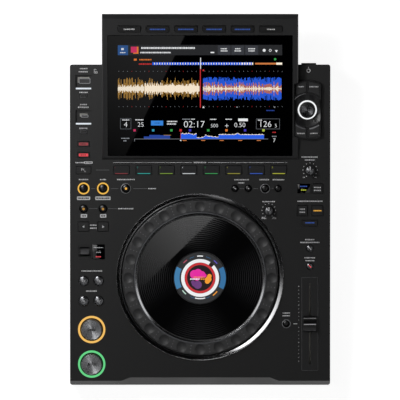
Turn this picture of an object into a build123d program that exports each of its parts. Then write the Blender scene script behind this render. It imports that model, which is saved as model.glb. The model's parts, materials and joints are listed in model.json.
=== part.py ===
from build123d import *

import os
from math import cos, radians, sin, tan

# Tabletop digital disc player with a jog wheel, a tilted touch display on a raised housing and a
# sloping deck of keys. Millimetres, +Z up, front edge towards -Y. The origin is on the table,
# in the middle of the footprint. "Distance" always means the plan distance behind the front edge.

# ---------------------------------------------------------------- case
trim_radius = 105.7  # the jog wheel's trim ring
key_lane = 58.8  # from the trim ring to the side of the case
body_width = 2 * (trim_radius + key_lane)
front_height = 52.0
panel_slope = 5.0
corner_radius = 3.0
panel_thickness = 3.0
side_wall = 2.5
foot_height = 8.0
parting_height = 20.0  # joint between the upper cover and the base tray
tray_wall = 1.5
tray_inset = 0.6
seam = 0.3  # open joint between two shells
seat = 0.2  # slack round a piece that is fixed in its opening

front_bevel = 5.2  # plan depth of the bevel along the front edge
front_bevel_drop = 9.0
scoop_depth = 9.5  # the bevel is deeper in the middle of the front edge
scoop_drop = 15.0
scoop_width = 177.0
scoop_flare = 3.2  # how fast its ends widen, per mm above the scoop
cavity_bevel = 8.1  # inner bevel, a wall behind the scoop
cavity_bevel_drop = 12.7

# rows across the deck, as distances; the ones behind the jog wheel follow from its size
jog_distance = trim_radius + 31.0
loop_row = jog_distance + trim_radius + 6.1
hot_cue_row = loop_row + 23.3
deck_depth = hot_cue_row + 14.0  # front edge to the front of the display housing
beat_loop_row = loop_row - 25.7
beat_jump_row = loop_row - 48.1
sync_row = loop_row - 27.9
key_sync_row = loop_row - 43.7
direction_row = jog_distance + 31.7
tempo_range_row = jog_distance + 36.3
master_tempo_row = jog_distance + 13.7
track_search_row = jog_distance - 4.8
search_row = jog_distance - 30.2
cue_row = 70.1
play_row = 26.4
fader_row = 77.4

# the left shoulder, a string of keys and port pockets, sets how far back the rear wall is
source_rows = (hot_cue_row + 19.2, hot_cue_row + 33.0)
stop_c_row = source_rows[1] + 15.5
usb_c_row = stop_c_row + 19.1
stop_a_row = usb_c_row + 26.1
usb_a_row = stop_a_row + 18.3
body_depth = usb_a_row + 21.2

# ---------------------------------------------------------------- display housing
display_tilt = 13.0
shoulder_width = 40.7  # from the housing to the side of the case
display_width = body_width - 2 * shoulder_width
display_lip = 4.7  # height of the housing's front edge above the panel
display_wall = 3.0
display_edge = 1.4
display_side_edge = 1.5
rear_bevel = 6.0
rear_bevel_drop = 4.5
overhang_thickness = 22.0
bezel_depth = 13.9  # the bezel shell's depth below the screen plane
glass_border = 7.2
glass_width = display_width - 2 * glass_border
glass_length = 155.9
glass_thickness = 1.8
glass_setback = 3.874  # from the housing's front edge, along the screen
display_rear_border = 27.732  # room behind the glass for a row of keys and the rear bevel
glass_ledge = 4.0
lcd_inset = 6.0
display_key_width = 28.8
display_key_length = 8.3
display_key_pitch = 35.7
display_key_margin = 19.6  # key centres to the housing's rear edge, along the screen
lcd_slack = 2.0
bay_width = glass_width - 2 * lcd_inset + 2 * lcd_slack  # the display hangs into the case here
bay_start = 7.2
bay_end = body_depth - deck_depth - 10.0

# the housing's length along the screen, and its plan depth; it overhangs the rear wall
display_rear_v = glass_setback + glass_length + display_rear_border
display_depth = display_rear_v * cos(radians(display_tilt))
front_y = -(deck_depth + display_depth) / 2
shoulder_y = front_y + body_depth
rear_y = -front_y

# ---------------------------------------------------------------- keys and their switches
key_gap = 0.4
key_rise = 1.8
key_travel = 1.2
key_chamfer = 0.4
key_corner = 0.9
flange_gap = 0.3
flange_thickness = 1.2
flange_lip = 1.2
stem_width = 3.0
press_gap = 0.3
board_drop = 12.0  # panel surface down to the switch board
board_thickness = 1.6
switch_height = 4.0
switch_size = 6.0

# columns, measured in from the sides of the case
left_column_inset = 17.3
left_inner_inset = 41.8
transport_inset = 27.4
right_column_inset = 25.7
sync_key_spread = 9.5
memory_x = 44.3  # the three memory keys, and delete
memory_next_x = 61.0
delete_x = 82.3
memory_last_x = 98.6
source_key = (14.8, 6.8)
stop_key = (8.8, 4.2)

hot_cue_width = 20.2
hot_cue_length = 11.2
hot_cue_pitch = 28.4
loop_ring_radius = 7.5
loop_ring_bore = 5.9
loop_key_radius = 5.4
reloop_offset = 70.7
small_key_radius = 4.4
delete_key_radius = 5.0
search_key_radius = 6.3
search_key_pitch = 19.0
transport_ring_radius = 17.3
transport_ring_bore = 14.7
transport_key_radius = 14.2
transport_cap_radius = 13.1
transport_collar_rise = 1.6
transport_key_rise = 5.0
ring_rise = 0.6
collar_rise = 0.6
inlay_depth = 0.4
inlay_width = 34.5
inlay_length = 14.7
inlay_offset = 0.9  # its middle is this far behind the key-sync key

# the power key, on the rear wall
power_inset = 27.3
power_key_width = 18.8
power_key_height = 8.6
power_key_out = 2.0
power_key_travel = 1.8
power_key_drop = 10.5

# the two ports on the left shoulder
usb_pocket_width = 20.3
usb_pocket_length = 16.0
usb_pocket_depth = 6.0
usb_tub_wall = 1.5
usb_port_offset = 1.4
usb_shells = ((14.2, 6.6), (9.2, 3.4))
usb_depths = (18.0, 10.0)
usb_shell_rise = 0.6
light_bar_width = 19.4
light_bar_length = 2.0

# ---------------------------------------------------------------- jog wheel
trim_width = 5.8
trim_height = 2.4
trim_land = 0.9  # flat top of the trim ring, between its outer edge and its inner slope
jog_gap = 1.4
jog_height = 12.8
jog_band_width = 14.3
jog_skirt_depth = 8.0
jog_hole_radius = trim_radius - 1.5
jog_wall = 3.0
dimple_count = 24
dimple_radius = 7.2
dimple_depth = 1.8
dimple_inset = 7.8  # from the platter's edge to the dimples' middles
accent_width = 5.0  # raised lip inside the dimples, and the slope from it down to the disc
accent_lip = 2.0
accent_height = 0.8
disc_thickness = 2.0
jog_display_radius = 32.9
jog_display_rise = 1.6
jog_display_gap = 1.1
post_radius = 14.0
bearing_clearance = 0.05
bearing_width = 5.0
hub_wall = 7.0
hub_depth = 14.0
code_wheel_radius = 46.0
code_wheel_thickness = 1.2
code_slot_count = 48
pan_depth = 24.0
pan_wall = 2.5
rib_count = 8
rib_height = 6.0
sensor_angle = 22.5

# ---------------------------------------------------------------- knobs, fader and lever
speed_knob_radius = 6.7
jog_adjust_radius = 6.3
pot_knob_height = 11.0
pot_shaft_end = -9.0
shaft_radius = 2.0
shaft_clearance = 0.1
running_clearance = 0.05
control_size = 9.0
control_height = 7.0
jog_adjust_x = trim_radius - 18.9
jog_adjust_row = jog_distance + trim_radius - 21.5
fader_plate_width = 21.1
fader_plate_length = 119.3
fader_plate_thickness = 1.0
fader_slot_width = 2.2
fader_slot_length = 101.7
fader_stem_length = 5.0
slider_clearance = 0.35
fader_cap_width = 16.3
fader_cap_length = 20.0
fader_cap_height = 8.8
fader_body_width = 10.0
fader_body_depth = 12.0
fader_body_length = 112.0
tempo_reset_offset = 29.7
lever_window_width = 16.3
lever_window_length = 16.9
lever_cap_width = 12.1
lever_cap_length = 5.4
lever_cap_height = 4.0
lever_rise = 5.0
lever_slot_width = 12.9
lever_slot_length = 12.4
lever_pocket_depth = 1.4
lever_pin_length = 19.0
shutter_radius = 6.2
cradle_offset = 8.0
lever_pivot_drop = 9.6
lever_pivot_radius = 2.2
window_width = 16.2
window_length = 18.6
mode_window_length = 11.9

# ---------------------------------------------------------------- browse pod
pod_width = 33.0
pod_end_radius = 37.3
pod_height = 9.0
pod_rim = 1.2
pod_offset = 11.6  # from the side of the display housing out to the knob's centre
pod_setback = 56.7  # knob centre to the rear wall
dish_radius = 21.2
dish_floor_radius = 13.0
dish_depth = 3.5
browse_ring_radius = 12.3
browse_ring_bore = 10.3
browse_knob_radius = 9.9
browse_knob_height = 15.0
browse_flute_count = 24
browse_shaft_radius = 3.0
pod_key_split = 1.8

# ---------------------------------------------------------------- fixings and inner parts
boss_inset = 8.0
boss_radius = 3.5
screw_radius = 1.5
screw_slack = 0.1
screw_head_radius = 3.0
screw_head_height = 1.8
foot_radius = 14.0
foot_side_inset = 39.5
foot_front_inset = 30.0
foot_rear_inset = 33.0
screw_length = 10.0
vent_count = 9
vent_length = 44.0
vent_width = 3.0
vent_pitch = 8.0
vent_offset = (60.0, 20.0)  # middle of each group of vents, from the middle of the case
standoff_inset = 6.0
standoff_radius = 3.0
pcb_thickness = 1.6
standoff_height = 9.0
inner_board_setback = 75.0  # from the rear wall to the middle of the two inner boards
inner_board_length = 112.0
main_board_width = 140.0
main_board_x = -body_width / 2 + main_board_width / 2 + 36.5
supply_width = 92.0
supply_x = body_width / 2 - supply_width / 2 - 48.5
processor = (-28.0, -8.0, 31.0)  # place on the main board, and its side
processor_height = 2.2
heat_sink_side = 28.0
heat_sink_base = 2.0
fin_height = 8.0
fin_width = 1.2
fin_pitch = 4.4
fin_count = 7
main_board_blocks = (  # x, y, width, length, height of the other parts on the main board
    (14.0, -14.0, 18.0, 18.0, 1.6),
    (14.0, 12.0, 14.0, 20.0, 1.4),
    (-58.0, 10.0, 8.0, 24.0, 7.0),
    (44.0, 24.0, 16.0, 12.0, 9.0),
    (-30.0, 34.0, 60.0, 6.0, 8.5),
)
supply_blocks = (  # transformer, heat sink and mains filter
    (6.0, -8.0, 32.0, 30.0, 26.0),
    (-34.0, 4.0, 3.0, 60.0, 24.0),
    (34.0, -4.0, 10.0, 26.0, 24.0),
)
capacitor_height = 22.0
capacitors = (  # x, y and radius on the supply board
    (-18.0, -34.0, 7.5),
    (2.0, -36.0, 7.5),
    (-20.0, 30.0, 6.0),
    (-20.0, 12.0, 6.0),
)

# board under the panel
board_width = body_width - 17.0
board_front = 8.0
board_rear = body_depth - 11.0
board_arch_width = 200.0  # open from the front edge to the jog wheel's pan
board_arch_depth = 98.0
board_post_radius = 2.5
board_posts = (
    (-body_width / 2 + 46.5, 30.0),
    (-body_width / 2 + 29.5, 118.8),
    (-body_width / 2 + 40.5, hot_cue_row + 28.2),
    (-57.0, hot_cue_row + 13.2),
    (57.0, hot_cue_row + 13.2),
    (body_width / 2 - 46.5, 20.0),
    (body_width / 2 - 40.5, 160.0),
    (body_width / 2 - 45.0, hot_cue_row + 24.2),
)

# rear plate and its sockets
rear_plate_x = -4.0
rear_plate_z = 49.0
rear_plate_width = 246.0
rear_plate_height = 46.0
plate_overlap = 3.0
plate_thickness = 1.2
jack_depth = 14.0
phono_x = (-108.0, -88.0, -62.0)
phono_z = 48.0
phono_flange_radius = 5.6
phono_radius = 4.15
phono_bore_radius = 1.6
phono_length = 8.5
rear_socket_x = {"usb": -30.0, "lan": 2.0, "mains": 88.0}
rear_socket_z = {"usb": 48.0, "lan": 48.0, "mains": 49.0}
lan_body = (16.0, 13.5)
lan_hole = (11.8, 8.0)
usb_b_body = (12.0, 11.0)
usb_b_hole = (8.6, 7.8)
jack_rise = 0.6  # how far the sockets stand out of the plate
jack_hole_depth = 11.6
security_slot_inset = 20.0
security_slot = (7.0, 3.0)
inlet_body = (27.0, 20.0)
inlet_mouth = (23.0, 15.5)
inlet_cut = 7.0  # side of the squares that cut its two upper corners off
inlet_depth = 16.0
inlet_pin_recess = 5.0


# ================================================================ frames and helpers
def panel_height(y):
    return front_height + (y - front_y) * tan(radians(panel_slope))


def screen_height(y):
    return panel_height(display_front_y) + display_lip + (y - display_front_y) * tan(radians(display_tilt))


def on_panel(x, distance):
    return (x, distance / cos(radians(panel_slope)))


def tilted(y, z, angle):
    return Plane(
        origin=(0, y, z),
        x_dir=(1, 0, 0),
        z_dir=(0, -sin(radians(angle)), cos(radians(angle))),
    )


display_front_y = front_y + deck_depth
panel = tilted(front_y, front_height, panel_slope)
screen = tilted(display_front_y, screen_height(display_front_y), display_tilt)
panel_up = Axis(panel.origin, panel.z_dir)
screen_up = Axis(screen.origin, screen.z_dir)
case_middle_y = (front_y + shoulder_y) / 2

left_x = -body_width / 2 + left_column_inset
left_inner_x = -body_width / 2 + left_inner_inset
transport_x = -body_width / 2 + transport_inset
right_x = body_width / 2 - right_column_inset
pod_x = display_width / 2 + pod_offset
pod_place = on_panel(pod_x, body_depth - pod_setback)
jog_place = on_panel(0, jog_distance)

board_top = -board_drop
switch_top = board_top + switch_height
stem_end = switch_top + key_travel + press_gap
flange_top = -panel_thickness - flange_gap
flange_bottom = flange_top - flange_thickness

parts = {}


def keep(name, builder):
    builder.part.label = name
    parts[name] = builder.part


# ================================================================ where every control sits
# Square keys: name -> list of (width, length, place on the panel)
square_keys = {
    f"hot_cue_button_{n + 1}": [
        (hot_cue_width, hot_cue_length, on_panel((n - 3.5) * hot_cue_pitch, hot_cue_row))
    ]
    for n in range(8)
}
square_keys["side_buttons"] = [
    (19.0, 9.7, on_panel(left_x, hot_cue_row)),
]
square_keys["side_buttons"] += [(*source_key, on_panel(left_x, row)) for row in source_rows]
square_keys["side_buttons"] += [(*stop_key, on_panel(left_x, row)) for row in (stop_c_row, stop_a_row)]
square_keys["beat_jump_buttons"] = [
    (13.9, 11.9, on_panel(x, beat_jump_row)) for x in (left_x, left_inner_x)
]
square_keys["jog_mode_button"] = [(13.6, 11.9, on_panel(right_x + sync_key_spread, loop_row))]
square_keys["beat_sync_button"] = [(13.1, 13.0, on_panel(right_x - sync_key_spread, sync_row))]
square_keys["master_button"] = [(13.9, 13.0, on_panel(right_x + sync_key_spread, sync_row))]
square_keys["key_sync_button"] = [(19.7, 7.3, on_panel(right_x, key_sync_row))]

# Round keys: name -> list of (radius, rise above the panel, place on the panel)
round_keys = {
    "loop_in_button": [(loop_key_radius, 2.4, on_panel(left_x, loop_row))],
    "loop_out_button": [(loop_key_radius, 2.4, on_panel(left_inner_x, loop_row))],
    "reloop_button": [(loop_key_radius, 2.4, on_panel(-body_width / 2 + reloop_offset, loop_row))],
    "beat_loop_buttons": [
        (loop_key_radius, 2.4, on_panel(x, beat_loop_row)) for x in (left_x, left_inner_x)
    ],
    "memory_buttons": [
        (small_key_radius, 2.0, on_panel(memory_x, loop_row)),
        (small_key_radius, 2.0, on_panel(memory_next_x, loop_row)),
        (delete_key_radius, 2.0, on_panel(delete_x, loop_row)),
        (small_key_radius, 2.0, on_panel(memory_last_x, loop_row)),
    ],
    "tempo_buttons": [
        (small_key_radius, 2.0, on_panel(right_x, tempo_range_row)),
        (small_key_radius, 2.0, on_panel(right_x, master_tempo_row)),
        (small_key_radius, 2.0, on_panel(right_x - tempo_reset_offset, fader_row)),
    ],
    "cue_button": [(transport_key_radius, transport_collar_rise, on_panel(transport_x, cue_row))],
    "play_button": [(transport_key_radius, transport_collar_rise, on_panel(transport_x, play_row))],
}
for row, group in ((track_search_row, "track"), (search_row, "search")):
    for n, way in enumerate(("back", "forward")):
        round_keys[f"{group}_{way}_button"] = [
            (search_key_radius, 3.0, on_panel(left_x + n * search_key_pitch, row))
        ]

# Lit rings: name -> (outer radius, bore, place)
lit_rings = {
    "cue_button": (transport_ring_radius, transport_ring_bore, on_panel(transport_x, cue_row)),
    "play_button": (transport_ring_radius, transport_ring_bore, on_panel(transport_x, play_row)),
    "loop_in_button": (loop_ring_radius, loop_ring_bore, on_panel(left_x, loop_row)),
    "loop_out_button": (loop_ring_radius, loop_ring_bore, on_panel(left_inner_x, loop_row)),
}
# Raised collars round three of the round keys: (key radius, collar width, place)
collars = [
    (loop_key_radius, 1.2, on_panel(-body_width / 2 + reloop_offset, loop_row)),
    (delete_key_radius, 1.0, on_panel(delete_x, loop_row)),
    (small_key_radius, 1.0, on_panel(right_x - tempo_reset_offset, fader_row)),
]
speed_knob_place = on_panel(right_x, hot_cue_row)
jog_adjust_place = on_panel(jog_adjust_x, jog_adjust_row)
lever_place = on_panel(left_x + 1.4, direction_row)
direction_window_place = on_panel(left_x + 18.7, direction_row)
mode_window_place = on_panel(right_x - 7.7, loop_row)
fader_place = on_panel(right_x, fader_row)
usb_places = [on_panel(left_x, row) for row in (usb_a_row, usb_c_row)]
pod_stems = [(pod_place[0] + sx * 8.4, pod_place[1] + sy * 27.0) for sx in (-1, 1) for sy in (-1, 1)]
bosses = [
    (sign * (body_width / 2 - boss_inset), front_y + distance)
    for sign in (-1, 1)
    for distance in (10.0, 149.0, body_depth - boss_inset)
]


# ================================================================ keys
def flange_and_stem(plane, width, length, place, round_flange):
    """What holds a key under its panel: a wide flange, and the stem that presses the switch."""
    with BuildSketch(plane.offset(flange_bottom)) as flange:
        with Locations(place):
            if round_flange:
                Circle(width + flange_lip)
            else:
                Rectangle(width + 2 * flange_lip, length + 2 * flange_lip)
    extrude(flange.sketch, amount=flange_thickness)
    with BuildSketch(plane.offset(stem_end)) as stem:
        with Locations(place):
            Rectangle(stem_width, stem_width)
    extrude(stem.sketch, amount=flange_bottom - stem_end)


def square_key(name, keys, plane, up):
    with BuildPart() as key:
        for width, length, place in keys:
            with BuildSketch(plane.offset(flange_top)):
                with Locations(place):
                    RectangleRounded(width, length, key_corner)
            extrude(amount=key_rise - flange_top)
        chamfer(key.edges().group_by(up)[-1], key_chamfer)
        for width, length, place in keys:
            flange_and_stem(plane, width, length, place, False)
    keep(name, key)


for name, keys in square_keys.items():
    square_key(name, keys, panel, panel_up)

display_key_v = display_rear_v - display_key_margin
display_keys = [
    (display_key_width, display_key_length, ((n - 2.5) * display_key_pitch, display_key_v))
    for n in range(6)
]
square_key("display_buttons", display_keys, screen, screen_up)

for name, keys in round_keys.items():
    with BuildPart() as round_key:
        for radius, rise, place in keys:
            with BuildSketch(panel.offset(flange_top)):
                with Locations(place):
                    Circle(radius)
            extrude(amount=rise - flange_top)
            if radius == transport_key_radius:
                with BuildSketch(panel.offset(rise)):
                    with Locations(place):
                        Circle(transport_cap_radius)
                extrude(amount=transport_key_rise - rise)
        chamfer(round_key.edges().group_by(panel_up)[-1], key_chamfer)
        for radius, rise, place in keys:
            flange_and_stem(panel, radius, radius, place, True)
    keep(name, round_key)

# The power key stands out of the rear wall, on the right shoulder.
power_x = body_width / 2 - power_inset
power_z = panel_height(shoulder_y) - power_key_drop
rear_wall = Plane(origin=(0, shoulder_y, 0), x_dir=(-1, 0, 0), z_dir=(0, 1, 0))
with BuildPart() as power_key:
    with BuildSketch(rear_wall.offset(-side_wall - flange_gap)):
        with Locations((-power_x, power_z)):
            RectangleRounded(power_key_width, power_key_height, key_corner)
    extrude(amount=side_wall + flange_gap + power_key_out)
    chamfer(power_key.edges().group_by(Axis.Y)[-1], key_chamfer)
    with BuildSketch(rear_wall.offset(-side_wall - flange_gap)):
        with Locations((-power_x, power_z)):
            Rectangle(power_key_width + 2 * flange_lip, power_key_height + 2 * flange_lip)
    extrude(amount=-flange_thickness)
keep("power_button", power_key)


# ================================================================ upper cover
def case_profile(inset, bottom, drop, bevel, bevel_drop):
    """Side view of the wedge-shaped case; inset and drop give the inner wall's outline."""
    near = front_y + inset
    far = shoulder_y - inset
    with BuildSketch(Plane.YZ) as profile:
        with BuildLine():
            Polyline(
                (near, bottom),
                (near, panel_height(near + bevel) - drop - bevel_drop),
                (near + bevel, panel_height(near + bevel) - drop),
                (far, panel_height(far) - drop),
                (far, bottom),
                close=True,
            )
        make_face()
    return profile.sketch


with BuildPart() as case_cavity:
    inner = case_profile(
        side_wall, parting_height - 1, panel_thickness, cavity_bevel, cavity_bevel_drop
    )
    extrude(inner, amount=body_width / 2 - side_wall, both=True)
    with BuildSketch(Plane.XY):
        with Locations(*bosses):
            Circle(boss_radius)
    extrude(amount=120, mode=Mode.SUBTRACT)

scoop_plane = Plane(
    origin=(0, front_y + scoop_depth, panel_height(front_y + scoop_depth)),
    x_dir=(1, 0, 0),
    z_dir=(0, -scoop_drop, scoop_depth),
)
with BuildPart() as scoop:
    with BuildSketch(scoop_plane):
        Rectangle(scoop_width, 4 * scoop_drop)
    with BuildSketch(scoop_plane.offset(6)):
        Rectangle(scoop_width + 2 * 6 * scoop_flare, 4 * scoop_drop)
    loft()

with BuildPart() as top_cover:
    with BuildSketch(Plane.XY.offset(parting_height)):
        with Locations((0, case_middle_y)):
            RectangleRounded(body_width, body_depth, corner_radius)
    extrude(amount=100)
    outer = case_profile(0, parting_height, 0, front_bevel, front_bevel_drop)
    extrude(outer, amount=body_width / 2, both=True, mode=Mode.INTERSECT)
    add(scoop.part, mode=Mode.SUBTRACT)
    add(case_cavity.part, mode=Mode.SUBTRACT)

    # screw bosses go on down to the base tray
    with BuildSketch(Plane.XY.offset(foot_height + tray_wall)):
        with Locations(*bosses):
            Circle(boss_radius)
    extrude(amount=parting_height - foot_height)
    with BuildSketch(Plane.XY.offset(foot_height + tray_wall)):
        with Locations(*bosses):
            Circle(screw_radius + screw_slack)
    extrude(amount=screw_length + 2, mode=Mode.SUBTRACT)

    # tubs under the two port pockets, and collars round three keys
    with BuildSketch(panel.offset(-usb_pocket_depth - usb_tub_wall)):
        with Locations(*usb_places):
            Rectangle(usb_pocket_width + 2 * usb_tub_wall, usb_pocket_length + 2 * usb_tub_wall)
    extrude(amount=usb_pocket_depth + usb_tub_wall - panel_thickness / 2)
    with BuildSketch(panel):
        for radius, width, place in collars:
            with Locations(place):
                Circle(radius + key_gap + width)
    extrude(amount=collar_rise)
    # posts that carry the switch board
    with BuildSketch(panel.offset(board_top)):
        with Locations(*[on_panel(x, distance) for x, distance in board_posts]):
            Circle(board_post_radius)
    extrude(amount=board_drop - panel_thickness / 2)

    with BuildSketch(panel.offset(-usb_pocket_depth)):
        with Locations(*usb_places):
            RectangleRounded(usb_pocket_width, usb_pocket_length, 0.8)
    extrude(amount=usb_pocket_depth + 1, mode=Mode.SUBTRACT)
    with BuildSketch(panel.offset(-usb_pocket_depth - usb_tub_wall - 1)):
        for (x, v), (width, length) in zip(usb_places, usb_shells):
            with Locations((x, v + usb_port_offset)):
                Rectangle(width + 2 * seat, length + 2 * seat)
    extrude(amount=usb_tub_wall + 2, mode=Mode.SUBTRACT)

    # openings for everything that comes through the panel
    with BuildSketch(panel.offset(-panel_thickness - 1)):
        with Locations(jog_place):
            Circle(jog_hole_radius)
        for keys in square_keys.values():
            for width, length, place in keys:
                with Locations(place):
                    RectangleRounded(width + 2 * key_gap, length + 2 * key_gap, key_corner + key_gap)
        for name, keys in round_keys.items():
            if name not in lit_rings:
                for radius, rise, place in keys:
                    with Locations(place):
                        Circle(radius + key_gap)
        for ring_radius, bore, place in lit_rings.values():
            with Locations(place):
                Circle(ring_radius + seat)
        with Locations(*pod_stems):
            Rectangle(stem_width + 2 * key_gap, stem_width + 2 * key_gap)
        with Locations(pod_place):
            Circle(browse_shaft_radius + key_gap)
        with Locations(speed_knob_place, jog_adjust_place):
            Circle(shaft_radius + key_gap)
        with Locations(lever_place):
            Rectangle(lever_slot_width, lever_slot_length)
        with Locations(direction_window_place):
            Rectangle(window_width + 2 * seat, window_length + 2 * seat)
        with Locations(mode_window_place):
            Rectangle(window_width + 2 * seat, mode_window_length + 2 * seat)
        with Locations(fader_place):
            Rectangle(fader_slot_width + 2, fader_slot_length + 2)
        with Locations(on_panel(0, deck_depth + (bay_start + bay_end) / 2)):
            Rectangle(bay_width, bay_end - bay_start)
    extrude(amount=panel_thickness + 3, mode=Mode.SUBTRACT)
    # the lever's pocket, and the shallow inlay behind the key-sync key
    with BuildSketch(panel.offset(-lever_pocket_depth)):
        with Locations(lever_place):
            RectangleRounded(lever_window_width, lever_window_length, 0.8)
    extrude(amount=lever_pocket_depth + 1, mode=Mode.SUBTRACT)
    with BuildSketch(panel.offset(-inlay_depth)):
        with Locations((right_x, on_panel(0, key_sync_row)[1] + inlay_offset)):
            Rectangle(inlay_width, inlay_length)
    extrude(amount=inlay_depth + 1, mode=Mode.SUBTRACT)

    # rear wall: connector plate, power key and security slot
    with BuildSketch(rear_wall.offset(1)):
        with Locations((-rear_plate_x, rear_plate_z)):
            Rectangle(rear_plate_width - 2 * plate_overlap, rear_plate_height - 2 * plate_overlap)
        with Locations((-power_x, power_z)):
            RectangleRounded(power_key_width + 2 * key_gap, power_key_height + 2 * key_gap, 1.2)
        with Locations((body_width / 2 - security_slot_inset, power_z)):
            Rectangle(*security_slot)
    extrude(amount=-side_wall - 2, mode=Mode.SUBTRACT)
keep("top_cover", top_cover)

# ================================================================ base tray, feet and screws
feet_places = [
    (sign * (body_width / 2 - foot_side_inset), y)
    for sign in (-1, 1)
    for y in (front_y + foot_front_inset, shoulder_y - foot_rear_inset)
]
tray_floor = foot_height + tray_wall
inner_board_y = shoulder_y - inner_board_setback


def corner_places(x, y, width, length):
    across, along = width / 2 - standoff_inset, length / 2 - standoff_inset
    return [(x + sx * across, y + sy * along) for sx in (-1, 1) for sy in (-1, 1)]


board_standoffs = corner_places(main_board_x, inner_board_y, main_board_width, inner_board_length)
board_standoffs += corner_places(supply_x, inner_board_y, supply_width, inner_board_length)

with BuildPart() as base_tray:
    with BuildSketch(Plane.XY.offset(foot_height)):
        with Locations((0, case_middle_y)):
            RectangleRounded(
                body_width - 2 * tray_inset, body_depth - 2 * tray_inset, corner_radius - tray_inset
            )
    extrude(amount=parting_height - seam - foot_height)
    with BuildSketch(Plane.XY.offset(tray_floor)):
        with Locations((0, case_middle_y)):
            Rectangle(
                body_width - 2 * tray_inset - 2 * tray_wall, body_depth - 2 * tray_inset - 2 * tray_wall
            )
    extrude(amount=parting_height, mode=Mode.SUBTRACT)
    with BuildSketch(Plane.XY.offset(foot_height - 1)):
        with Locations(*[(sign * vent_offset[0], case_middle_y + vent_offset[1]) for sign in (-1, 1)]):
            with GridLocations(vent_pitch, 0, vent_count, 1):
                SlotOverall(vent_length, vent_width, rotation=90)
        with Locations(*bosses):
            Circle(screw_radius + screw_slack)
    extrude(amount=tray_wall + 2, mode=Mode.SUBTRACT)
    with BuildSketch(Plane.XY.offset(tray_floor)):
        with Locations(*board_standoffs):
            Circle(standoff_radius)
    extrude(amount=standoff_height)
keep("base_tray", base_tray)

with BuildPart() as feet:
    with BuildSketch():
        with Locations(*feet_places):
            Circle(foot_radius)
    extrude(amount=foot_height)
    chamfer(feet.edges().group_by(Axis.Z)[0], 1.2)
    with BuildSketch():
        with Locations(*feet_places):
            Circle(foot_radius * 0.35)
    extrude(amount=foot_height * 0.5, mode=Mode.SUBTRACT)
keep("rubber_feet", feet)

with BuildPart() as base_screws:
    with BuildSketch(Plane.XY.offset(foot_height - screw_head_height)):
        with Locations(*bosses):
            Circle(screw_head_radius)
    extrude(amount=screw_head_height)
    chamfer(base_screws.edges().group_by(Axis.Z)[0], 0.5)
    with BuildSketch(Plane.XY.offset(foot_height)):
        with Locations(*bosses):
            Circle(screw_radius)
    extrude(amount=tray_wall + screw_length)
keep("base_screws", base_screws)


# ================================================================ display housing
def pod_outline(plane, grow):
    """The pod seen from above: two straight sides closed by arcs about the knob."""
    with BuildSketch(plane) as outline:
        with Locations(pod_place):
            Circle(pod_end_radius + grow)
            Rectangle(pod_width + 2 * grow, 4 * pod_end_radius, mode=Mode.INTERSECT)
    return outline.sketch


bevel_y = rear_y - rear_bevel
housing_rear_top = screen_height(bevel_y) - rear_bevel_drop
roof_drop = display_wall / cos(radians(display_tilt))
inner_front_y = display_front_y + (display_wall + roof_drop - display_lip) / (
    tan(radians(display_tilt)) - tan(radians(panel_slope))
)

with BuildPart() as housing_shell:
    with BuildSketch(Plane.YZ):
        with BuildLine():
            Polyline(
                (display_front_y, panel_height(display_front_y)),
                (display_front_y, screen_height(display_front_y) - display_edge),
                (display_front_y + display_edge, screen_height(display_front_y + display_edge)),
                (bevel_y, screen_height(bevel_y)),
                (rear_y, housing_rear_top),
                (rear_y, housing_rear_top - overhang_thickness),
                (shoulder_y, panel_height(shoulder_y)),
                close=True,
            )
        make_face()
    extrude(amount=display_width / 2, both=True)
    chamfer(housing_shell.edges().filter_by(Axis(screen.origin, screen.y_dir)), display_side_edge)
    extrude(pod_outline(panel.offset(-1), seam), amount=60, mode=Mode.SUBTRACT)

with BuildPart() as housing_cavity:
    with BuildSketch(Plane.YZ):
        with BuildLine():
            Polyline(
                (inner_front_y, panel_height(inner_front_y) + display_wall),
                (bevel_y, screen_height(bevel_y) - roof_drop),
                (rear_y - display_wall, housing_rear_top - display_wall / 2),
                (rear_y - display_wall, housing_rear_top - overhang_thickness + display_wall),
                (shoulder_y, panel_height(shoulder_y) + display_wall),
                close=True,
            )
        make_face()
    extrude(amount=display_width / 2 - display_wall, both=True)
    extrude(pod_outline(panel.offset(-1), seam + display_wall), amount=60, mode=Mode.SUBTRACT)

with BuildPart() as housing_bay:
    with BuildSketch(panel.offset(-1)):
        with Locations(on_panel(0, deck_depth + (bay_start + bay_end) / 2)):
            Rectangle(bay_width, bay_end - bay_start)
    extrude(amount=display_wall + 1.4)

glass_v = glass_setback + glass_length / 2
with BuildPart() as display_bezel:
    add(housing_shell.part)
    add(housing_cavity.part, mode=Mode.SUBTRACT)
    add(housing_bay.part, mode=Mode.SUBTRACT)
    split(bisect_by=screen.offset(-bezel_depth), keep=Keep.TOP)
    with BuildSketch(screen.offset(-glass_thickness)):
        with Locations((0, glass_v)):
            Rectangle(glass_width + 2 * seat, glass_length + 2 * seat)
    extrude(amount=glass_thickness + 5, mode=Mode.SUBTRACT)
    with BuildSketch(screen.offset(-display_wall - 3)):
        with Locations((0, glass_v)):
            Rectangle(glass_width - 2 * glass_ledge, glass_length - 2 * glass_ledge)
        with Locations(*[place for width, length, place in display_keys]):
            RectangleRounded(
                display_key_width + 2 * key_gap, display_key_length + 2 * key_gap, key_corner + key_gap
            )
    extrude(amount=display_wall + 5, mode=Mode.SUBTRACT)
keep("display_bezel", display_bezel)

with BuildPart() as display_rear_cover:
    add(housing_shell.part)
    add(housing_cavity.part, mode=Mode.SUBTRACT)
    add(housing_bay.part, mode=Mode.SUBTRACT)
    split(bisect_by=screen.offset(-bezel_depth - seam), keep=Keep.BOTTOM)
keep("display_rear_cover", display_rear_cover)

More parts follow.
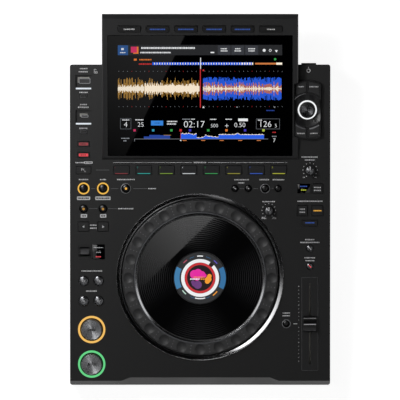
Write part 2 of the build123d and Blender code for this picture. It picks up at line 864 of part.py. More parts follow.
with BuildPart() as touch_display:
    with BuildSketch(screen.offset(-glass_thickness)):
        with Locations((0, glass_v)):
            Rectangle(glass_width, glass_length)
    extrude(amount=glass_thickness)
    chamfer(touch_display.edges().group_by(screen_up)[-1], 0.3)
    with BuildSketch(screen.offset(board_top)):
        with Locations((0, glass_v)):
            Rectangle(glass_width - 2 * lcd_inset, glass_length - 2 * lcd_inset)
    extrude(amount=board_drop - glass_thickness)
    # carrier board, with the switches of the six keys behind the screen
    carrier_rear = display_key_v + 9
    with BuildSketch(screen.offset(board_top - board_thickness)):
        with Locations((0, (glass_setback + lcd_inset + carrier_rear) / 2)):
            Rectangle(glass_width - 2 * lcd_inset, carrier_rear - glass_setback - lcd_inset)
    extrude(amount=board_thickness)
    with BuildSketch(screen.offset(board_top)):
        with Locations(*[place for width, length, place in display_keys]):
            Rectangle(switch_size, switch_size)
    extrude(amount=switch_height)
keep("touch_display", touch_display)

# ================================================================ jog wheel, turned about its own axis
jog_centre = panel.from_local_coords(Vector(*jog_place, 0))
jog_axis = Axis(jog_centre, panel.z_dir)
jog_section = Plane(origin=jog_centre, x_dir=(1, 0, 0), z_dir=-panel.y_dir)
jog_plan = Plane(origin=jog_centre, x_dir=(1, 0, 0), z_dir=panel.z_dir)

platter_radius = trim_radius - trim_width - jog_gap
band_inner = platter_radius - jog_band_width
accent_inner = band_inner - accent_width
web_top = jog_height - disc_thickness
web_bottom = web_top - jog_wall
hub_bore = post_radius + bearing_clearance + bearing_width
hub_radius = hub_bore + hub_wall
hub_bottom = -hub_depth
wheel_top = hub_bottom + 9.0
skirt_inner = platter_radius - jog_wall
pan_inner = trim_radius - trim_width + 0.6
post_top = web_bottom - 0.6
display_underside = web_top + 0.4
display_top = jog_height + jog_display_rise


def turned(*outline):
    """A solid of revolution about the jog axis, from its (radius, height) outline."""
    with BuildSketch(jog_section) as half:
        with BuildLine():
            Polyline(*outline, close=True)
        make_face()
    revolve(half.sketch, axis=jog_axis)


with BuildPart() as jog_trim_ring:
    turned(
        (trim_radius, 0),
        (trim_radius, trim_height - 0.6),
        (trim_radius - 0.5, trim_height),
        (trim_radius - trim_land, trim_height),
        (trim_radius - 3.0, trim_height - 0.8),
        (trim_radius - 4.6, trim_height - 2.0),
        (trim_radius - trim_width, trim_height - 3.6),
        (trim_radius - trim_width, -panel_thickness),
        (jog_hole_radius - seat, -panel_thickness),
        (jog_hole_radius - seat, 0),
    )
keep("jog_trim_ring", jog_trim_ring)

with BuildPart() as jog_platter:
    turned(
        (platter_radius, -jog_skirt_depth),
        (platter_radius, jog_height - 3.0),
        (platter_radius - 1.0, jog_height - 0.6),
        (platter_radius - 2.0, jog_height),
        (band_inner, jog_height),
        (band_inner, web_top),
        (hub_bore, web_top),
        (hub_bore, hub_bottom),
        (hub_radius, hub_bottom),
        (hub_radius, wheel_top),
        (hub_radius + 2, wheel_top),
        (hub_radius + 2, web_bottom),
        (skirt_inner, web_bottom),
        (skirt_inner, -jog_skirt_depth),
    )
    # finger dimples round the band
    ball_radius = (dimple_radius**2 + dimple_depth**2) / (2 * dimple_depth)
    with Locations(jog_plan.offset(jog_height + ball_radius - dimple_depth)):
        with PolarLocations(platter_radius - dimple_inset, dimple_count):
            Sphere(ball_radius, mode=Mode.SUBTRACT)
    # raised lip between the dimples and the disc
    turned(
        (band_inner, web_top - 0.5),
        (band_inner, jog_height),
        (band_inner - 0.8, jog_height + accent_height),
        (band_inner - accent_lip, jog_height + accent_height),
        (accent_inner, jog_height),
        (accent_inner, web_top - 0.5),
    )
keep("jog_platter", jog_platter)

disc_radius = accent_inner - seat
disc_bore = jog_display_radius + jog_display_gap
with BuildPart() as jog_top_disc:
    turned(
        (disc_bore, web_top),
        (disc_radius, web_top),
        (disc_radius, jog_height),
        (disc_bore, jog_height),
    )
keep("jog_top_disc", jog_top_disc)

with BuildPart() as jog_bearing:
    turned(
        (post_radius + bearing_clearance, hub_bottom + 1),
        (hub_bore, hub_bottom + 1),
        (hub_bore, web_bottom - 1),
        (post_radius + bearing_clearance, web_bottom - 1),
    )
keep("jog_bearing", jog_bearing)

with BuildPart() as jog_code_wheel:
    turned(
        (hub_radius, wheel_top),
        (code_wheel_radius, wheel_top),
        (code_wheel_radius, wheel_top - code_wheel_thickness),
        (hub_radius, wheel_top - code_wheel_thickness),
    )
    with BuildSketch(jog_plan.offset(wheel_top + 1)):
        with PolarLocations(code_wheel_radius - 3.4, code_slot_count):
            Rectangle(4.4, 2.4)
    extrude(amount=-code_wheel_thickness - 2, mode=Mode.SUBTRACT)
keep("jog_code_wheel", jog_code_wheel)

pan_floor = -pan_depth
with BuildPart() as jog_base:
    turned(
        (0, pan_floor - pan_wall),
        (pan_inner + pan_wall, pan_floor - pan_wall),
        (pan_inner + pan_wall, -panel_thickness - pan_wall),
        (trim_radius + 6.0, -panel_thickness - pan_wall),
        (trim_radius + 6.0, -panel_thickness),
        (jog_hole_radius + 0.4, -panel_thickness),
        (jog_hole_radius + 0.4, -panel_thickness - 1.5),
        (pan_inner, -panel_thickness - 1.5),
        (pan_inner, pan_floor),
        (post_radius, pan_floor),
        (post_radius, post_top),
        (0, post_top),
    )
    with BuildSketch(jog_plan.offset(pan_floor - 0.5)):
        with PolarLocations((post_radius + pan_inner) / 2, rib_count):
            Rectangle(pan_inner - post_radius + 1, 2.0)
    extrude(amount=rib_height + 0.5)
    # forked light sensor that the code wheel runs through
    with BuildSketch(jog_plan.offset(pan_floor - 0.5)):
        with PolarLocations(code_wheel_radius + 1.5, 1, sensor_angle):
            Rectangle(13.0, 9.0)
    extrude(amount=wheel_top + 4.0 - pan_floor + 0.5)
    with BuildSketch(jog_plan.offset(wheel_top - code_wheel_thickness - 1.0)):
        with PolarLocations(code_wheel_radius - 3.0, 1, sensor_angle):
            Rectangle(10.0, 12.0)
    extrude(amount=code_wheel_thickness + 2.0, mode=Mode.SUBTRACT)
keep("jog_base", jog_base)

with BuildPart() as jog_display:
    turned(
        (0, post_top),
        (post_radius - 1.0, post_top),
        (post_radius - 1.0, display_underside),
        (jog_display_radius, display_underside),
        (jog_display_radius, display_top - 0.5),
        (jog_display_radius - 0.5, display_top),
        (0, display_top),
    )
keep("jog_display", jog_display)

# ================================================================ lit rings, bars and windows
browse_ring_floor = pod_height - dish_depth
with BuildPart() as indicator_lenses:
    for ring_radius, bore, place in lit_rings.values():
        with BuildSketch(panel.offset(-panel_thickness)):
            with Locations(place):
                Circle(ring_radius)
                Circle(bore, mode=Mode.SUBTRACT)
        extrude(amount=panel_thickness + ring_rise)
    with BuildSketch(panel.offset(browse_ring_floor)):
        with Locations(pod_place):
            Circle(browse_ring_radius)
            Circle(browse_ring_bore, mode=Mode.SUBTRACT)
    extrude(amount=ring_rise)
    with BuildSketch(panel):
        with Locations(*[(x, v - usb_pocket_length / 2 - light_bar_length / 2 - 0.1) for x, v in usb_places]):
            Rectangle(light_bar_width, light_bar_length)
    extrude(amount=0.5)
    with BuildSketch(panel.offset(-panel_thickness)):
        with Locations(direction_window_place):
            Rectangle(window_width, window_length)
        with Locations(mode_window_place):
            Rectangle(window_width, mode_window_length)
    extrude(amount=panel_thickness + 0.3)
keep("indicator_lenses", indicator_lenses)

# ================================================================ browse pod, keys, shaft and knob
pod_floor = 1.5
pod_centre = panel.from_local_coords(Vector(*pod_place, 0))
dish_floor = pod_height - dish_depth


def pod_plan(height):
    return Plane(origin=pod_centre + panel.z_dir * height, x_dir=(1, 0, 0), z_dir=panel.z_dir)


def pod_key_field(height, shrink):
    """Where the four pod keys are: inside the pod's rim, outside the dish."""
    with BuildSketch(pod_plan(height)) as field:
        Circle(pod_end_radius - pod_rim - shrink)
        Rectangle(pod_width - 2 * pod_rim - 2 * shrink, 4 * pod_end_radius, mode=Mode.INTERSECT)
        Circle(dish_radius + 0.8 + shrink, mode=Mode.SUBTRACT)
        Rectangle(pod_key_split + 2 * shrink, 4 * pod_end_radius, mode=Mode.SUBTRACT)
    return field.sketch


with BuildPart() as dish:
    with BuildSketch(pod_plan(dish_floor)):
        Circle(dish_floor_radius)
    with BuildSketch(pod_plan(pod_height + 0.5)):
        Circle(dish_radius + 0.5 * (dish_radius - dish_floor_radius) / dish_depth)
    loft()

with BuildPart() as browse_pod:
    extrude(pod_outline(panel, 0), amount=pod_height)
    chamfer(browse_pod.edges().group_by(panel_up)[-1], 0.5)
    extrude(pod_key_field(pod_floor, 0), amount=pod_height, mode=Mode.SUBTRACT)
    add(dish.part, mode=Mode.SUBTRACT)
    with BuildSketch(panel.offset(-1)):
        with Locations(*pod_stems):
            Rectangle(stem_width + 2 * key_gap, stem_width + 2 * key_gap)
    extrude(amount=pod_floor + 2, mode=Mode.SUBTRACT)
    with BuildSketch(panel.offset(-1)):
        with Locations(pod_place):
            Circle(browse_shaft_radius + key_gap)
    extrude(amount=pod_height + 2, mode=Mode.SUBTRACT)
keep("browse_pod", browse_pod)

with BuildPart() as browse_buttons:
    extrude(pod_key_field(pod_floor + key_travel + 0.6, key_gap), amount=pod_height - pod_floor - key_travel)
    chamfer(browse_buttons.edges().group_by(panel_up)[-1], 0.3)
    with BuildSketch(panel.offset(stem_end)):
        with Locations(*pod_stems):
            Rectangle(stem_width, stem_width)
    extrude(amount=pod_floor + key_travel + 0.6 - stem_end)
    # snap hooks under the panel
    with BuildSketch(panel.offset(flange_bottom)):
        with Locations(*pod_stems):
            Rectangle(stem_width + 2 * flange_lip, stem_width)
    extrude(amount=flange_thickness)
keep("browse_buttons", browse_buttons)

shaft_top = browse_knob_height - 2.0
with BuildPart() as browse_shaft:
    with BuildSketch(pod_plan(-9.0)):
        Circle(browse_shaft_radius)
    extrude(amount=shaft_top + 9.0)
keep("browse_shaft", browse_shaft)

knob_bottom = dish_floor + key_travel + 0.4
with BuildPart() as browse_knob:
    with BuildSketch(pod_plan(knob_bottom)):
        Circle(browse_knob_radius)
    extrude(amount=browse_knob_height - knob_bottom)
    chamfer(browse_knob.edges().group_by(panel_up)[-1], 1.2)
    with BuildSketch(pod_plan(knob_bottom)):
        with PolarLocations(browse_knob_radius + 0.3, browse_flute_count):
            Circle(0.8)
    extrude(amount=browse_knob_height, mode=Mode.SUBTRACT)
    with BuildSketch(pod_plan(knob_bottom)):
        Circle(browse_shaft_radius + running_clearance)
    extrude(amount=shaft_top - knob_bottom, mode=Mode.SUBTRACT)
keep("browse_knob", browse_knob)


# ================================================================ small knobs, fader and lever
def small_knob(name, place, radius):
    """Knob with a pointer groove, on a shaft that goes down into its control."""
    centre = panel.from_local_coords(Vector(*place, 0))
    with BuildPart() as knob:
        with BuildSketch(Plane(origin=centre + panel.z_dir * 0.6, x_dir=(1, 0, 0), z_dir=panel.z_dir)):
            Circle(radius)
        extrude(amount=pot_knob_height)
        chamfer(knob.edges().group_by(panel_up)[-1], 0.6)
        with BuildSketch(Plane(origin=centre + panel.z_dir * 3, x_dir=(1, 0, 0), z_dir=panel.z_dir)):
            with Locations((0, radius)):
                Rectangle(1.2, 1.6 * radius)
        extrude(amount=pot_knob_height, mode=Mode.SUBTRACT)
        shaft_foot = centre + panel.z_dir * pot_shaft_end
        with BuildSketch(Plane(origin=shaft_foot, x_dir=(1, 0, 0), z_dir=panel.z_dir)):
            Circle(shaft_radius)
        extrude(amount=3 - pot_shaft_end)
        with BuildSketch(Plane(origin=centre + panel.z_dir * 3, x_dir=(1, 0, 0), z_dir=panel.z_dir)):
            Circle(shaft_radius)
        extrude(amount=pot_knob_height - 3)
    keep(name, knob)


small_knob("vinyl_speed_knob", speed_knob_place, speed_knob_radius)
small_knob("jog_adjust_knob", jog_adjust_place, jog_adjust_radius)

with BuildPart() as fader_bezel:
    with BuildSketch(panel):
        with Locations(fader_place):
            RectangleRounded(fader_plate_width, fader_plate_length, 1.5)
            Rectangle(fader_slot_width, fader_slot_length, mode=Mode.SUBTRACT)
    extrude(amount=fader_plate_thickness)
    chamfer(fader_bezel.faces().sort_by(panel_up)[-1].outer_wire().edges(), 0.4)
keep("fader_bezel", fader_bezel)

with BuildPart() as fader_body:
    with BuildSketch(panel.offset(-panel_thickness - fader_body_depth)):
        with Locations(fader_place):
            Rectangle(fader_body_width, fader_body_length)
    extrude(amount=fader_body_depth)
    with BuildSketch(panel.offset(-panel_thickness - fader_body_depth + 1.5)):
        with Locations(fader_place):
            Rectangle(fader_slot_width + 1, fader_slot_length + 3)
    extrude(amount=fader_body_depth, mode=Mode.SUBTRACT)
keep("fader_body", fader_body)

fader_centre = panel.from_local_coords(Vector(*fader_place, 0))
fader_side = Plane(origin=fader_centre, x_dir=panel.y_dir, z_dir=(1, 0, 0))
cap_bottom = fader_plate_thickness + 0.4
cap_top = fader_plate_thickness + fader_cap_height
half = fader_cap_length / 2
with BuildPart() as tempo_fader_cap:
    with BuildSketch(fader_side):
        with BuildLine():
            Polyline(
                (-half, cap_bottom),
                (-half, cap_top - 3.5),
                (-half + 1.4, cap_top - 0.6),
                (-half + 3.2, cap_top),
                (-half + 5.4, cap_top - 0.3),
                (-1.6, cap_top - 2.6),
                (-0.5, cap_top - 2.8),
                (0.5, cap_top - 2.8),
                (1.6, cap_top - 2.6),
                (half - 5.4, cap_top - 0.3),
                (half - 3.2, cap_top),
                (half - 1.4, cap_top - 0.6),
                (half, cap_top - 3.5),
                (half, cap_bottom),
                close=True,
            )
        make_face()
    extrude(amount=fader_cap_width / 2, both=True)
    with BuildSketch(panel.offset(-panel_thickness - fader_body_depth + 3)):
        with Locations(fader_place):
            Rectangle(fader_slot_width - 2 * slider_clearance, fader_stem_length)
    extrude(amount=panel_thickness + fader_body_depth - 3 + cap_bottom + 1)
keep("tempo_fader_cap", tempo_fader_cap)

pivot = panel.from_local_coords(Vector(*lever_place, -lever_pivot_drop))
lever_side = Plane(origin=pivot, x_dir=panel.y_dir, z_dir=(1, 0, 0))
with BuildPart() as direction_lever:
    with BuildSketch(lever_side):
        Circle(lever_pivot_radius)
    extrude(amount=lever_pin_length / 2, both=True)
    # a curved shutter closes the slot round the lever
    with BuildSketch(lever_side):
        Circle(shutter_radius)
        Circle(shutter_radius - 1.0, mode=Mode.SUBTRACT)
        with Locations((0, shutter_radius)):
            Rectangle(1.8 * shutter_radius, 1.5 * shutter_radius, mode=Mode.INTERSECT)
        Rectangle(3.0, shutter_radius * 2 - 1)
        with Locations((0, -shutter_radius)):
            Rectangle(4 * shutter_radius, 2 * shutter_radius, mode=Mode.SUBTRACT)
    extrude(amount=lever_slot_width / 2, both=True)
    with BuildSketch(lever_side):
        with Locations((0, (lever_pivot_drop + lever_rise) / 2 + 1)):
            Rectangle(lever_cap_length - 1.6, lever_pivot_drop + lever_rise - 2)
        with Locations((0, lever_pivot_drop + lever_rise - lever_cap_height / 2)):
            Rectangle(lever_cap_length, lever_cap_height)
    extrude(amount=lever_cap_width / 2, both=True)
keep("direction_lever", direction_lever)

# ================================================================ switch board under the panel
key_places = [place for keys in square_keys.values() for width, length, place in keys]
key_places += [place for keys in round_keys.values() for radius, rise, place in keys]
key_places += pod_stems
board_plane = panel.offset(board_top - board_thickness)
with BuildPart() as panel_board:
    with BuildSketch(board_plane):
        with Locations(on_panel(0, (board_front + board_rear) / 2)):
            Rectangle(board_width, board_rear - board_front)
        with Locations(jog_place):
            Circle(trim_radius + 7.5, mode=Mode.SUBTRACT)
        with Locations(on_panel(0, board_arch_depth / 2)):
            Rectangle(board_arch_width, board_arch_depth, mode=Mode.SUBTRACT)
        with Locations(on_panel(0, deck_depth + bay_end)):
            Rectangle(bay_width + 6, 2 * (bay_end - bay_start), mode=Mode.SUBTRACT)
        with Locations(fader_place):
            Rectangle(fader_body_width + 1, fader_body_length + 1, mode=Mode.SUBTRACT)
        boss_tops = [Vector(x, y, panel_height(y) - board_drop) for x, y in bosses]
        with Locations(*[panel.to_local_coords(top) for top in boss_tops]):
            Circle(boss_radius + 1.5, mode=Mode.SUBTRACT)
        for (x, v), (width, length) in zip(usb_places, usb_shells):
            with Locations((x, v + usb_port_offset)):
                Rectangle(width + 3, length + 3, mode=Mode.SUBTRACT)
    extrude(amount=board_thickness)
    with BuildSketch(panel.offset(board_top)):
        with Locations(*key_places):
            Rectangle(switch_size, switch_size)
    extrude(amount=switch_height)
    # rotary controls under the three knobs
    with BuildSketch(panel.offset(board_top)):
        with Locations(speed_knob_place, jog_adjust_place, pod_place):
            Rectangle(control_size, control_size)
    extrude(amount=control_height)
    with BuildSketch(panel.offset(board_top + 0.8)):
        with Locations(speed_knob_place, jog_adjust_place):
            Circle(shaft_radius + shaft_clearance)
        with Locations(pod_place):
            Circle(browse_shaft_radius + shaft_clearance)
    extrude(amount=control_height, mode=Mode.SUBTRACT)
    # cradle of the direction lever, and the switch behind the power key
    for side in (-1, 1):
        with BuildSketch(panel.offset(board_top)):
            with Locations((lever_place[0] + side * cradle_offset, lever_place[1])):
                Rectangle(2.0, 8.0)
        extrude(amount=board_drop - lever_pivot_drop + 4.5)
    with BuildSketch(lever_side):
        Circle(lever_pivot_radius + shaft_clearance)
    extrude(amount=lever_pin_length, both=True, mode=Mode.SUBTRACT)
    power_switch_y = shoulder_y - side_wall - flange_gap - flange_thickness - power_key_travel - press_gap
    with BuildSketch(Plane.XY.offset(power_z - 3.0)):
        with Locations((power_x, power_switch_y - 4.0)):
            Rectangle(8.0, 8.0)
    extrude(amount=6.0)
keep("panel_board", panel_board)

# ================================================================ ports, inner boards and rear sockets
with BuildPart() as usb_ports:
    for (x, v), (width, length), depth, tongue in zip(
        usb_places, usb_shells, usb_depths, ((10.6, 1.7), (6.4, 0.7))
    ):
        with BuildSketch(panel.offset(-usb_pocket_depth - depth)):
            with Locations((x, v + usb_port_offset)):
                Rectangle(width, length)
        extrude(amount=depth + usb_shell_rise)
        with BuildSketch(panel.offset(-usb_pocket_depth - depth + 3)):
            with Locations((x, v + usb_port_offset)):
                Rectangle(width - 1.2, length - 1.2)
        extrude(amount=depth, mode=Mode.SUBTRACT)
        with BuildSketch(panel.offset(-usb_pocket_depth - depth + 2)):
            with Locations((x, v + usb_port_offset)):
                Rectangle(*tongue)
        extrude(amount=depth - 3)
keep("usb_ports", usb_ports)

board_z = tray_floor + standoff_height
parts_z = board_z + pcb_thickness
with BuildPart() as inner_boards:
    with BuildSketch(Plane.XY.offset(board_z)):
        with Locations((main_board_x, inner_board_y)):
            Rectangle(main_board_width, inner_board_length)
        with Locations((supply_x, inner_board_y)):
            Rectangle(supply_width, inner_board_length)
    extrude(amount=pcb_thickness)
    chip_x, chip_y = main_board_x + processor[0], inner_board_y + processor[1]
    for board_x, blocks in ((main_board_x, main_board_blocks), (supply_x, supply_blocks)):
        for x, y, width, length, height in blocks:
            with BuildSketch(Plane.XY.offset(parts_z)):
                with Locations((board_x + x, inner_board_y + y)):
                    Rectangle(width, length)
            extrude(amount=height)
    # the processor under its finned heat sink
    with BuildSketch(Plane.XY.offset(parts_z)):
        with Locations((chip_x, chip_y)):
            Rectangle(processor[2], processor[2])
    extrude(amount=processor_height)
    with BuildSketch(Plane.XY.offset(parts_z + processor_height)):
        with Locations((chip_x, chip_y)):
            Rectangle(heat_sink_side, heat_sink_side)
    extrude(amount=heat_sink_base)
    with BuildSketch(Plane.XY.offset(parts_z + processor_height + heat_sink_base)):
        with Locations((chip_x, chip_y)):
            with GridLocations(fin_pitch, 0, fin_count, 1):
                Rectangle(fin_width, heat_sink_side)
    extrude(amount=fin_height)
    with BuildSketch(Plane.XY.offset(parts_z)):
        for x, y, radius in capacitors:
            with Locations((supply_x + x, inner_board_y + y)):
                Circle(radius)
    extrude(amount=capacitor_height)
keep("inner_boards", inner_boards)

plate_y = shoulder_y - side_wall
inlet_x, inlet_z = rear_socket_x["mains"], rear_socket_z["mains"]
plate_front = Plane(origin=(0, plate_y, 0), x_dir=(-1, 0, 0), z_dir=(0, 1, 0))
with BuildPart() as rear_plate:
    with BuildSketch(plate_front):
        with Locations((-rear_plate_x, rear_plate_z)):
            Rectangle(rear_plate_width, rear_plate_height)
    extrude(amount=-plate_thickness)
    with BuildSketch(plate_front):
        for x in phono_x:
            with Locations((-x, phono_z)):
                Circle(phono_flange_radius + seat)
        with Locations((-rear_socket_x["lan"], rear_socket_z["lan"])):
            Rectangle(lan_body[0] + 2 * seat, lan_body[1] + 2 * seat)
        with Locations((-rear_socket_x["usb"], rear_socket_z["usb"])):
            Rectangle(usb_b_body[0] + 2 * seat, usb_b_body[1] + 2 * seat)
        with Locations((-inlet_x, inlet_z)):
            Rectangle(inlet_body[0] + 2 * seat, inlet_body[1] + 2 * seat)
    extrude(amount=-plate_thickness - 1, mode=Mode.SUBTRACT)
keep("rear_plate", rear_plate)

with BuildPart() as rear_jacks:
    for x in phono_x:
        with BuildSketch(plate_front.offset(-jack_depth)):
            with Locations((-x, phono_z)):
                Circle(phono_flange_radius)
        extrude(amount=jack_depth + jack_rise)
        with BuildSketch(plate_front):
            with Locations((-x, phono_z)):
                Circle(phono_radius)
        extrude(amount=phono_length)
        with BuildSketch(plate_front.offset(-2)):
            with Locations((-x, phono_z)):
                Circle(phono_bore_radius)
        extrude(amount=phono_length + 4, mode=Mode.SUBTRACT)
    usb_b_place = (-rear_socket_x["usb"], rear_socket_z["usb"])
    with BuildSketch(plate_front.offset(-jack_depth)):
        with Locations(usb_b_place):
            Rectangle(*usb_b_body)
    extrude(amount=jack_depth + jack_rise)
    with BuildSketch(plate_front.offset(jack_rise - jack_hole_depth)):
        with Locations(usb_b_place):
            Rectangle(*usb_b_hole)
    extrude(amount=jack_hole_depth + 1, mode=Mode.SUBTRACT)
    with BuildSketch(plate_front.offset(-11.5)):
        with Locations(usb_b_place):
            Rectangle(5.6, 3.2)
    extrude(amount=9.0)
keep("rear_jacks", rear_jacks)

with BuildPart() as lan_jack:
    lan_place = (-rear_socket_x["lan"], rear_socket_z["lan"])
    with BuildSketch(plate_front.offset(-jack_depth)):
        with Locations(lan_place):
            Rectangle(*lan_body)
    extrude(amount=jack_depth + jack_rise)
    with BuildSketch(plate_front.offset(jack_rise - jack_hole_depth)):
        with Locations(lan_place):
            Rectangle(*lan_hole)
    extrude(amount=jack_hole_depth + 1, mode=Mode.SUBTRACT)
    with BuildSketch(plate_front.offset(-11.5)):
        with Locations((lan_place[0], lan_place[1] - 2.6)):
            with GridLocations(1.2, 0, 8, 1):
                Rectangle(0.5, 1.2)
    extrude(amount=7.0)
keep("lan_jack", lan_jack)

with BuildPart() as mains_inlet:
    with BuildSketch(plate_front.offset(-inlet_depth)):
        with Locations((-inlet_x, inlet_z)):
            Rectangle(*inlet_body)
    extrude(amount=inlet_depth)
    with BuildSketch(plate_front):
        with Locations((-inlet_x, inlet_z)):
            RectangleRounded(inlet_body[0] + 5, inlet_body[1] + 5, 2)
    extrude(amount=1.6)
    with BuildSketch(plate_front.offset(2)):
        with Locations((-inlet_x, inlet_z)):
            Rectangle(*inlet_mouth)
            with Locations(*[(sign * inlet_mouth[0] / 2, inlet_mouth[1] / 2) for sign in (-1, 1)]):
                Rectangle(inlet_cut, inlet_cut, rotation=45, mode=Mode.SUBTRACT)
    extrude(amount=-inlet_depth, mode=Mode.SUBTRACT)
    with BuildSketch(plate_front.offset(-inlet_depth + 1)):
        with Locations((-inlet_x, inlet_z + 2), (-inlet_x - 7, inlet_z - 2), (-inlet_x + 7, inlet_z - 2)):
            Rectangle(2.0, 4.0)
    extrude(amount=inlet_depth - 1 - inlet_pin_recess)
keep("mains_inlet", mains_inlet)

# ================================================================ export
os.makedirs("parts", exist_ok=True)
for name, shape in parts.items():
    export_step(shape, f"parts/{name}.step")
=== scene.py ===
import json
from math import cos, pi, radians, sin, tan

import bpy
from mathutils import Matrix, Vector


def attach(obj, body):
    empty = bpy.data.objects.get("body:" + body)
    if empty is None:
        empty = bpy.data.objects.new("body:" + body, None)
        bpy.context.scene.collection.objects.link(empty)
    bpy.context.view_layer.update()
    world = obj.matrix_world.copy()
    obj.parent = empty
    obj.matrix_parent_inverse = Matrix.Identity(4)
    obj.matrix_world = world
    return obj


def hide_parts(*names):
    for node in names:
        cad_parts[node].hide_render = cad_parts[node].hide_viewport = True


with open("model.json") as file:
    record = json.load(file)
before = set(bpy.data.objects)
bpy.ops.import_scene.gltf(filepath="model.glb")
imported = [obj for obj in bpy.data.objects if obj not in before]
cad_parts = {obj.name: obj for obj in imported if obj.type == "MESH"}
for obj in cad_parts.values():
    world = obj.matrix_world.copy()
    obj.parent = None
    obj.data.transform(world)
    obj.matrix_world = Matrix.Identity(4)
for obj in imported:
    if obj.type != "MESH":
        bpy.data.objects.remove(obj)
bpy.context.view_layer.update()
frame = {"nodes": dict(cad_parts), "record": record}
nodes = frame["nodes"]
groups = frame["record"]["behaviour"]["bodies"]
bodyOf = {node: body for body, members in groups.items() for node in members}
print("frame loaded:", len(nodes), "nodes")

# plain numbers are millimetres, except where a comment says otherwise
mm = 0.001
deck = {"frontY": -234.25, "frontHeight": 52.0, "slope": radians(5)}
screen = {"distance": 285.8, "lip": 4.7, "tilt": radians(13)}
# places across the deck, from its middle
columns = {
    "left": -147.2, "leftInner": -122.7, "skip": -128.2, "transport": -137.1, "reloop": -93.8,
    "callBack": 44.3, "callNext": 61.0, "delete": 82.3, "memory": 98.6, "reset": 109.1, "right": 138.8,
}
# rows up the deck, as plan distances behind its front edge
rows = {
    "hotCue": 271.8, "loop": 248.5, "beatLoop": 222.8, "beatJump": 200.4, "direction": 168.4,
    "track": 131.9, "search": 106.5, "cue": 70.1, "play": 26.4, "jog": 136.7,
    "tempoRange": 173.0, "masterTempo": 150.4, "fader": 77.4,
}


def alongDeck(distance):
    return distance / cos(deck["slope"])


def sloped(marks):
    # marks given by their plan distance, moved to the same place along the slope
    return [(x, alongDeck(distance), *rest) for x, distance, *rest in marks]


def onDeck(x, distance, height=0.0):
    # placement of a piece on the sloping deck
    spot = Vector((x, deck["frontY"] + distance, deck["frontHeight"] + distance * tan(deck["slope"])))
    lift = Matrix.Translation((0, 0, height * mm))
    return Matrix.Translation(spot * mm) @ Matrix.Rotation(deck["slope"], 4, "X") @ lift


def atKey(column, row, height=0.0):
    return onDeck(columns[column], rows[row], height)


def onScreen(x, along, height=0.0):
    # placement on the tilted display, measured along its surface from the housing's front edge
    front = deck["frontHeight"] + screen["distance"] * tan(deck["slope"]) + screen["lip"]
    spot = Vector((0, deck["frontY"] + screen["distance"], front))
    turn = Matrix.Rotation(screen["tilt"], 4, "X")
    return Matrix.Translation(spot * mm) @ turn @ Matrix.Translation(Vector((x, along, height)) * mm)


def raised(place, height):
    return place @ Matrix.Translation((0, 0, height * mm))


def linear(code):
    parts = [int(code[i : i + 2], 16) / 255 for i in (1, 3, 5)]
    return [c / 12.92 if c <= 0.04045 else ((c + 0.055) / 1.055) ** 2.4 for c in parts] + [1.0]


def addNode(tree, kind, settings=None, links=None):
    node = tree.nodes.new(kind)
    for name, value in (settings or {}).items():
        if isinstance(name, str) and hasattr(node, name):
            setattr(node, name, value)
        else:
            node.inputs[name].default_value = value
    for name, source in (links or {}).items():
        tree.links.new(source, node.inputs[name])
    return node


def reckon(tree, operation, first, second=None, clamp=False):
    # one step of arithmetic; the second value is a number or another node's output
    settings, links = {"operation": operation, "use_clamp": clamp}, {0: first}
    if second is not None:
        (settings if isinstance(second, float) else links)[1] = second
    return addNode(tree, "ShaderNodeMath", settings, links).outputs["Value"]


def mapped(tree, value, fromRange, toRange, kind="LINEAR"):
    settings = {
        "interpolation_type": kind,
        "From Min": fromRange[0],
        "From Max": fromRange[1],
        "To Min": toRange[0],
        "To Max": toRange[1],
    }
    return addNode(tree, "ShaderNodeMapRange", settings, {"Value": value}).outputs["Result"]


def noise(tree, scale, detail):
    coords = addNode(tree, "ShaderNodeTexCoord").outputs["Object"]
    cloud = addNode(tree, "ShaderNodeTexNoise", {"Scale": scale, "Detail": detail}, {"Vector": coords})
    return cloud.outputs["Fac"]


def newMaterial(name, surface):
    material = bpy.data.materials.new(name)
    material.use_nodes = True
    shader = material.node_tree.nodes["Principled BSDF"]
    for socket, value in surface.items():
        shader.inputs[socket].default_value = value
    return material, material.node_tree, shader


def varyGloss(tree, shader, scale, detail, low, high):
    gloss = mapped(tree, noise(tree, scale, detail), (0.3, 0.7), (low, high))
    tree.links.new(gloss, shader.inputs["Roughness"])


def addGrain(tree, shader, scale, detail, strength, depth):
    # a fine bump; scale in grains per metre, depth in metres
    settings = {"Strength": strength, "Distance": depth}
    bump = addNode(tree, "ShaderNodeBump", settings, {"Height": noise(tree, scale, detail)})
    tree.links.new(bump.outputs["Normal"], shader.inputs["Normal"])


def mouldedPlastic(name, code, roughness=0.42, grain=0.35, depth=0.012, ior=1.53):
    # injection moulded, with a spark-eroded grain (its size and depth in mm) that breaks the
    # highlight up, and a gloss that wanders a little where hands polish it
    surface = {"Base Color": linear(code), "Roughness": roughness, "IOR": ior}
    material, tree, shader = newMaterial(name, surface)
    varyGloss(tree, shader, 24.0, 4.0, roughness * 0.92, roughness * 1.1)
    addGrain(tree, shader, 1 / (grain * mm), 2.0, 0.4, depth * mm)
    return material


def wornMetal(name, code, roughness=0.3, streak=0.0, place=None):
    # plated, ground or turned metal with faint wear in its gloss; streak is how far the turning
    # marks round the axis at this place smear the light
    surface = {"Base Color": linear(code), "Metallic": 1.0, "Roughness": roughness, "Anisotropic": streak}
    material, tree, shader = newMaterial(name, surface)
    varyGloss(tree, shader, 400.0, 5.0, roughness * 0.85, roughness * 1.2)
    if place is not None:
        coords = addNode(tree, "ShaderNodeTexCoord").outputs["Object"]
        centre = {"operation": "SUBTRACT", 1: tuple(place.translation)}
        outward = addNode(tree, "ShaderNodeVectorMath", centre, {0: coords})
        tree.links.new(outward.outputs["Vector"], shader.inputs["Tangent"])
    return material


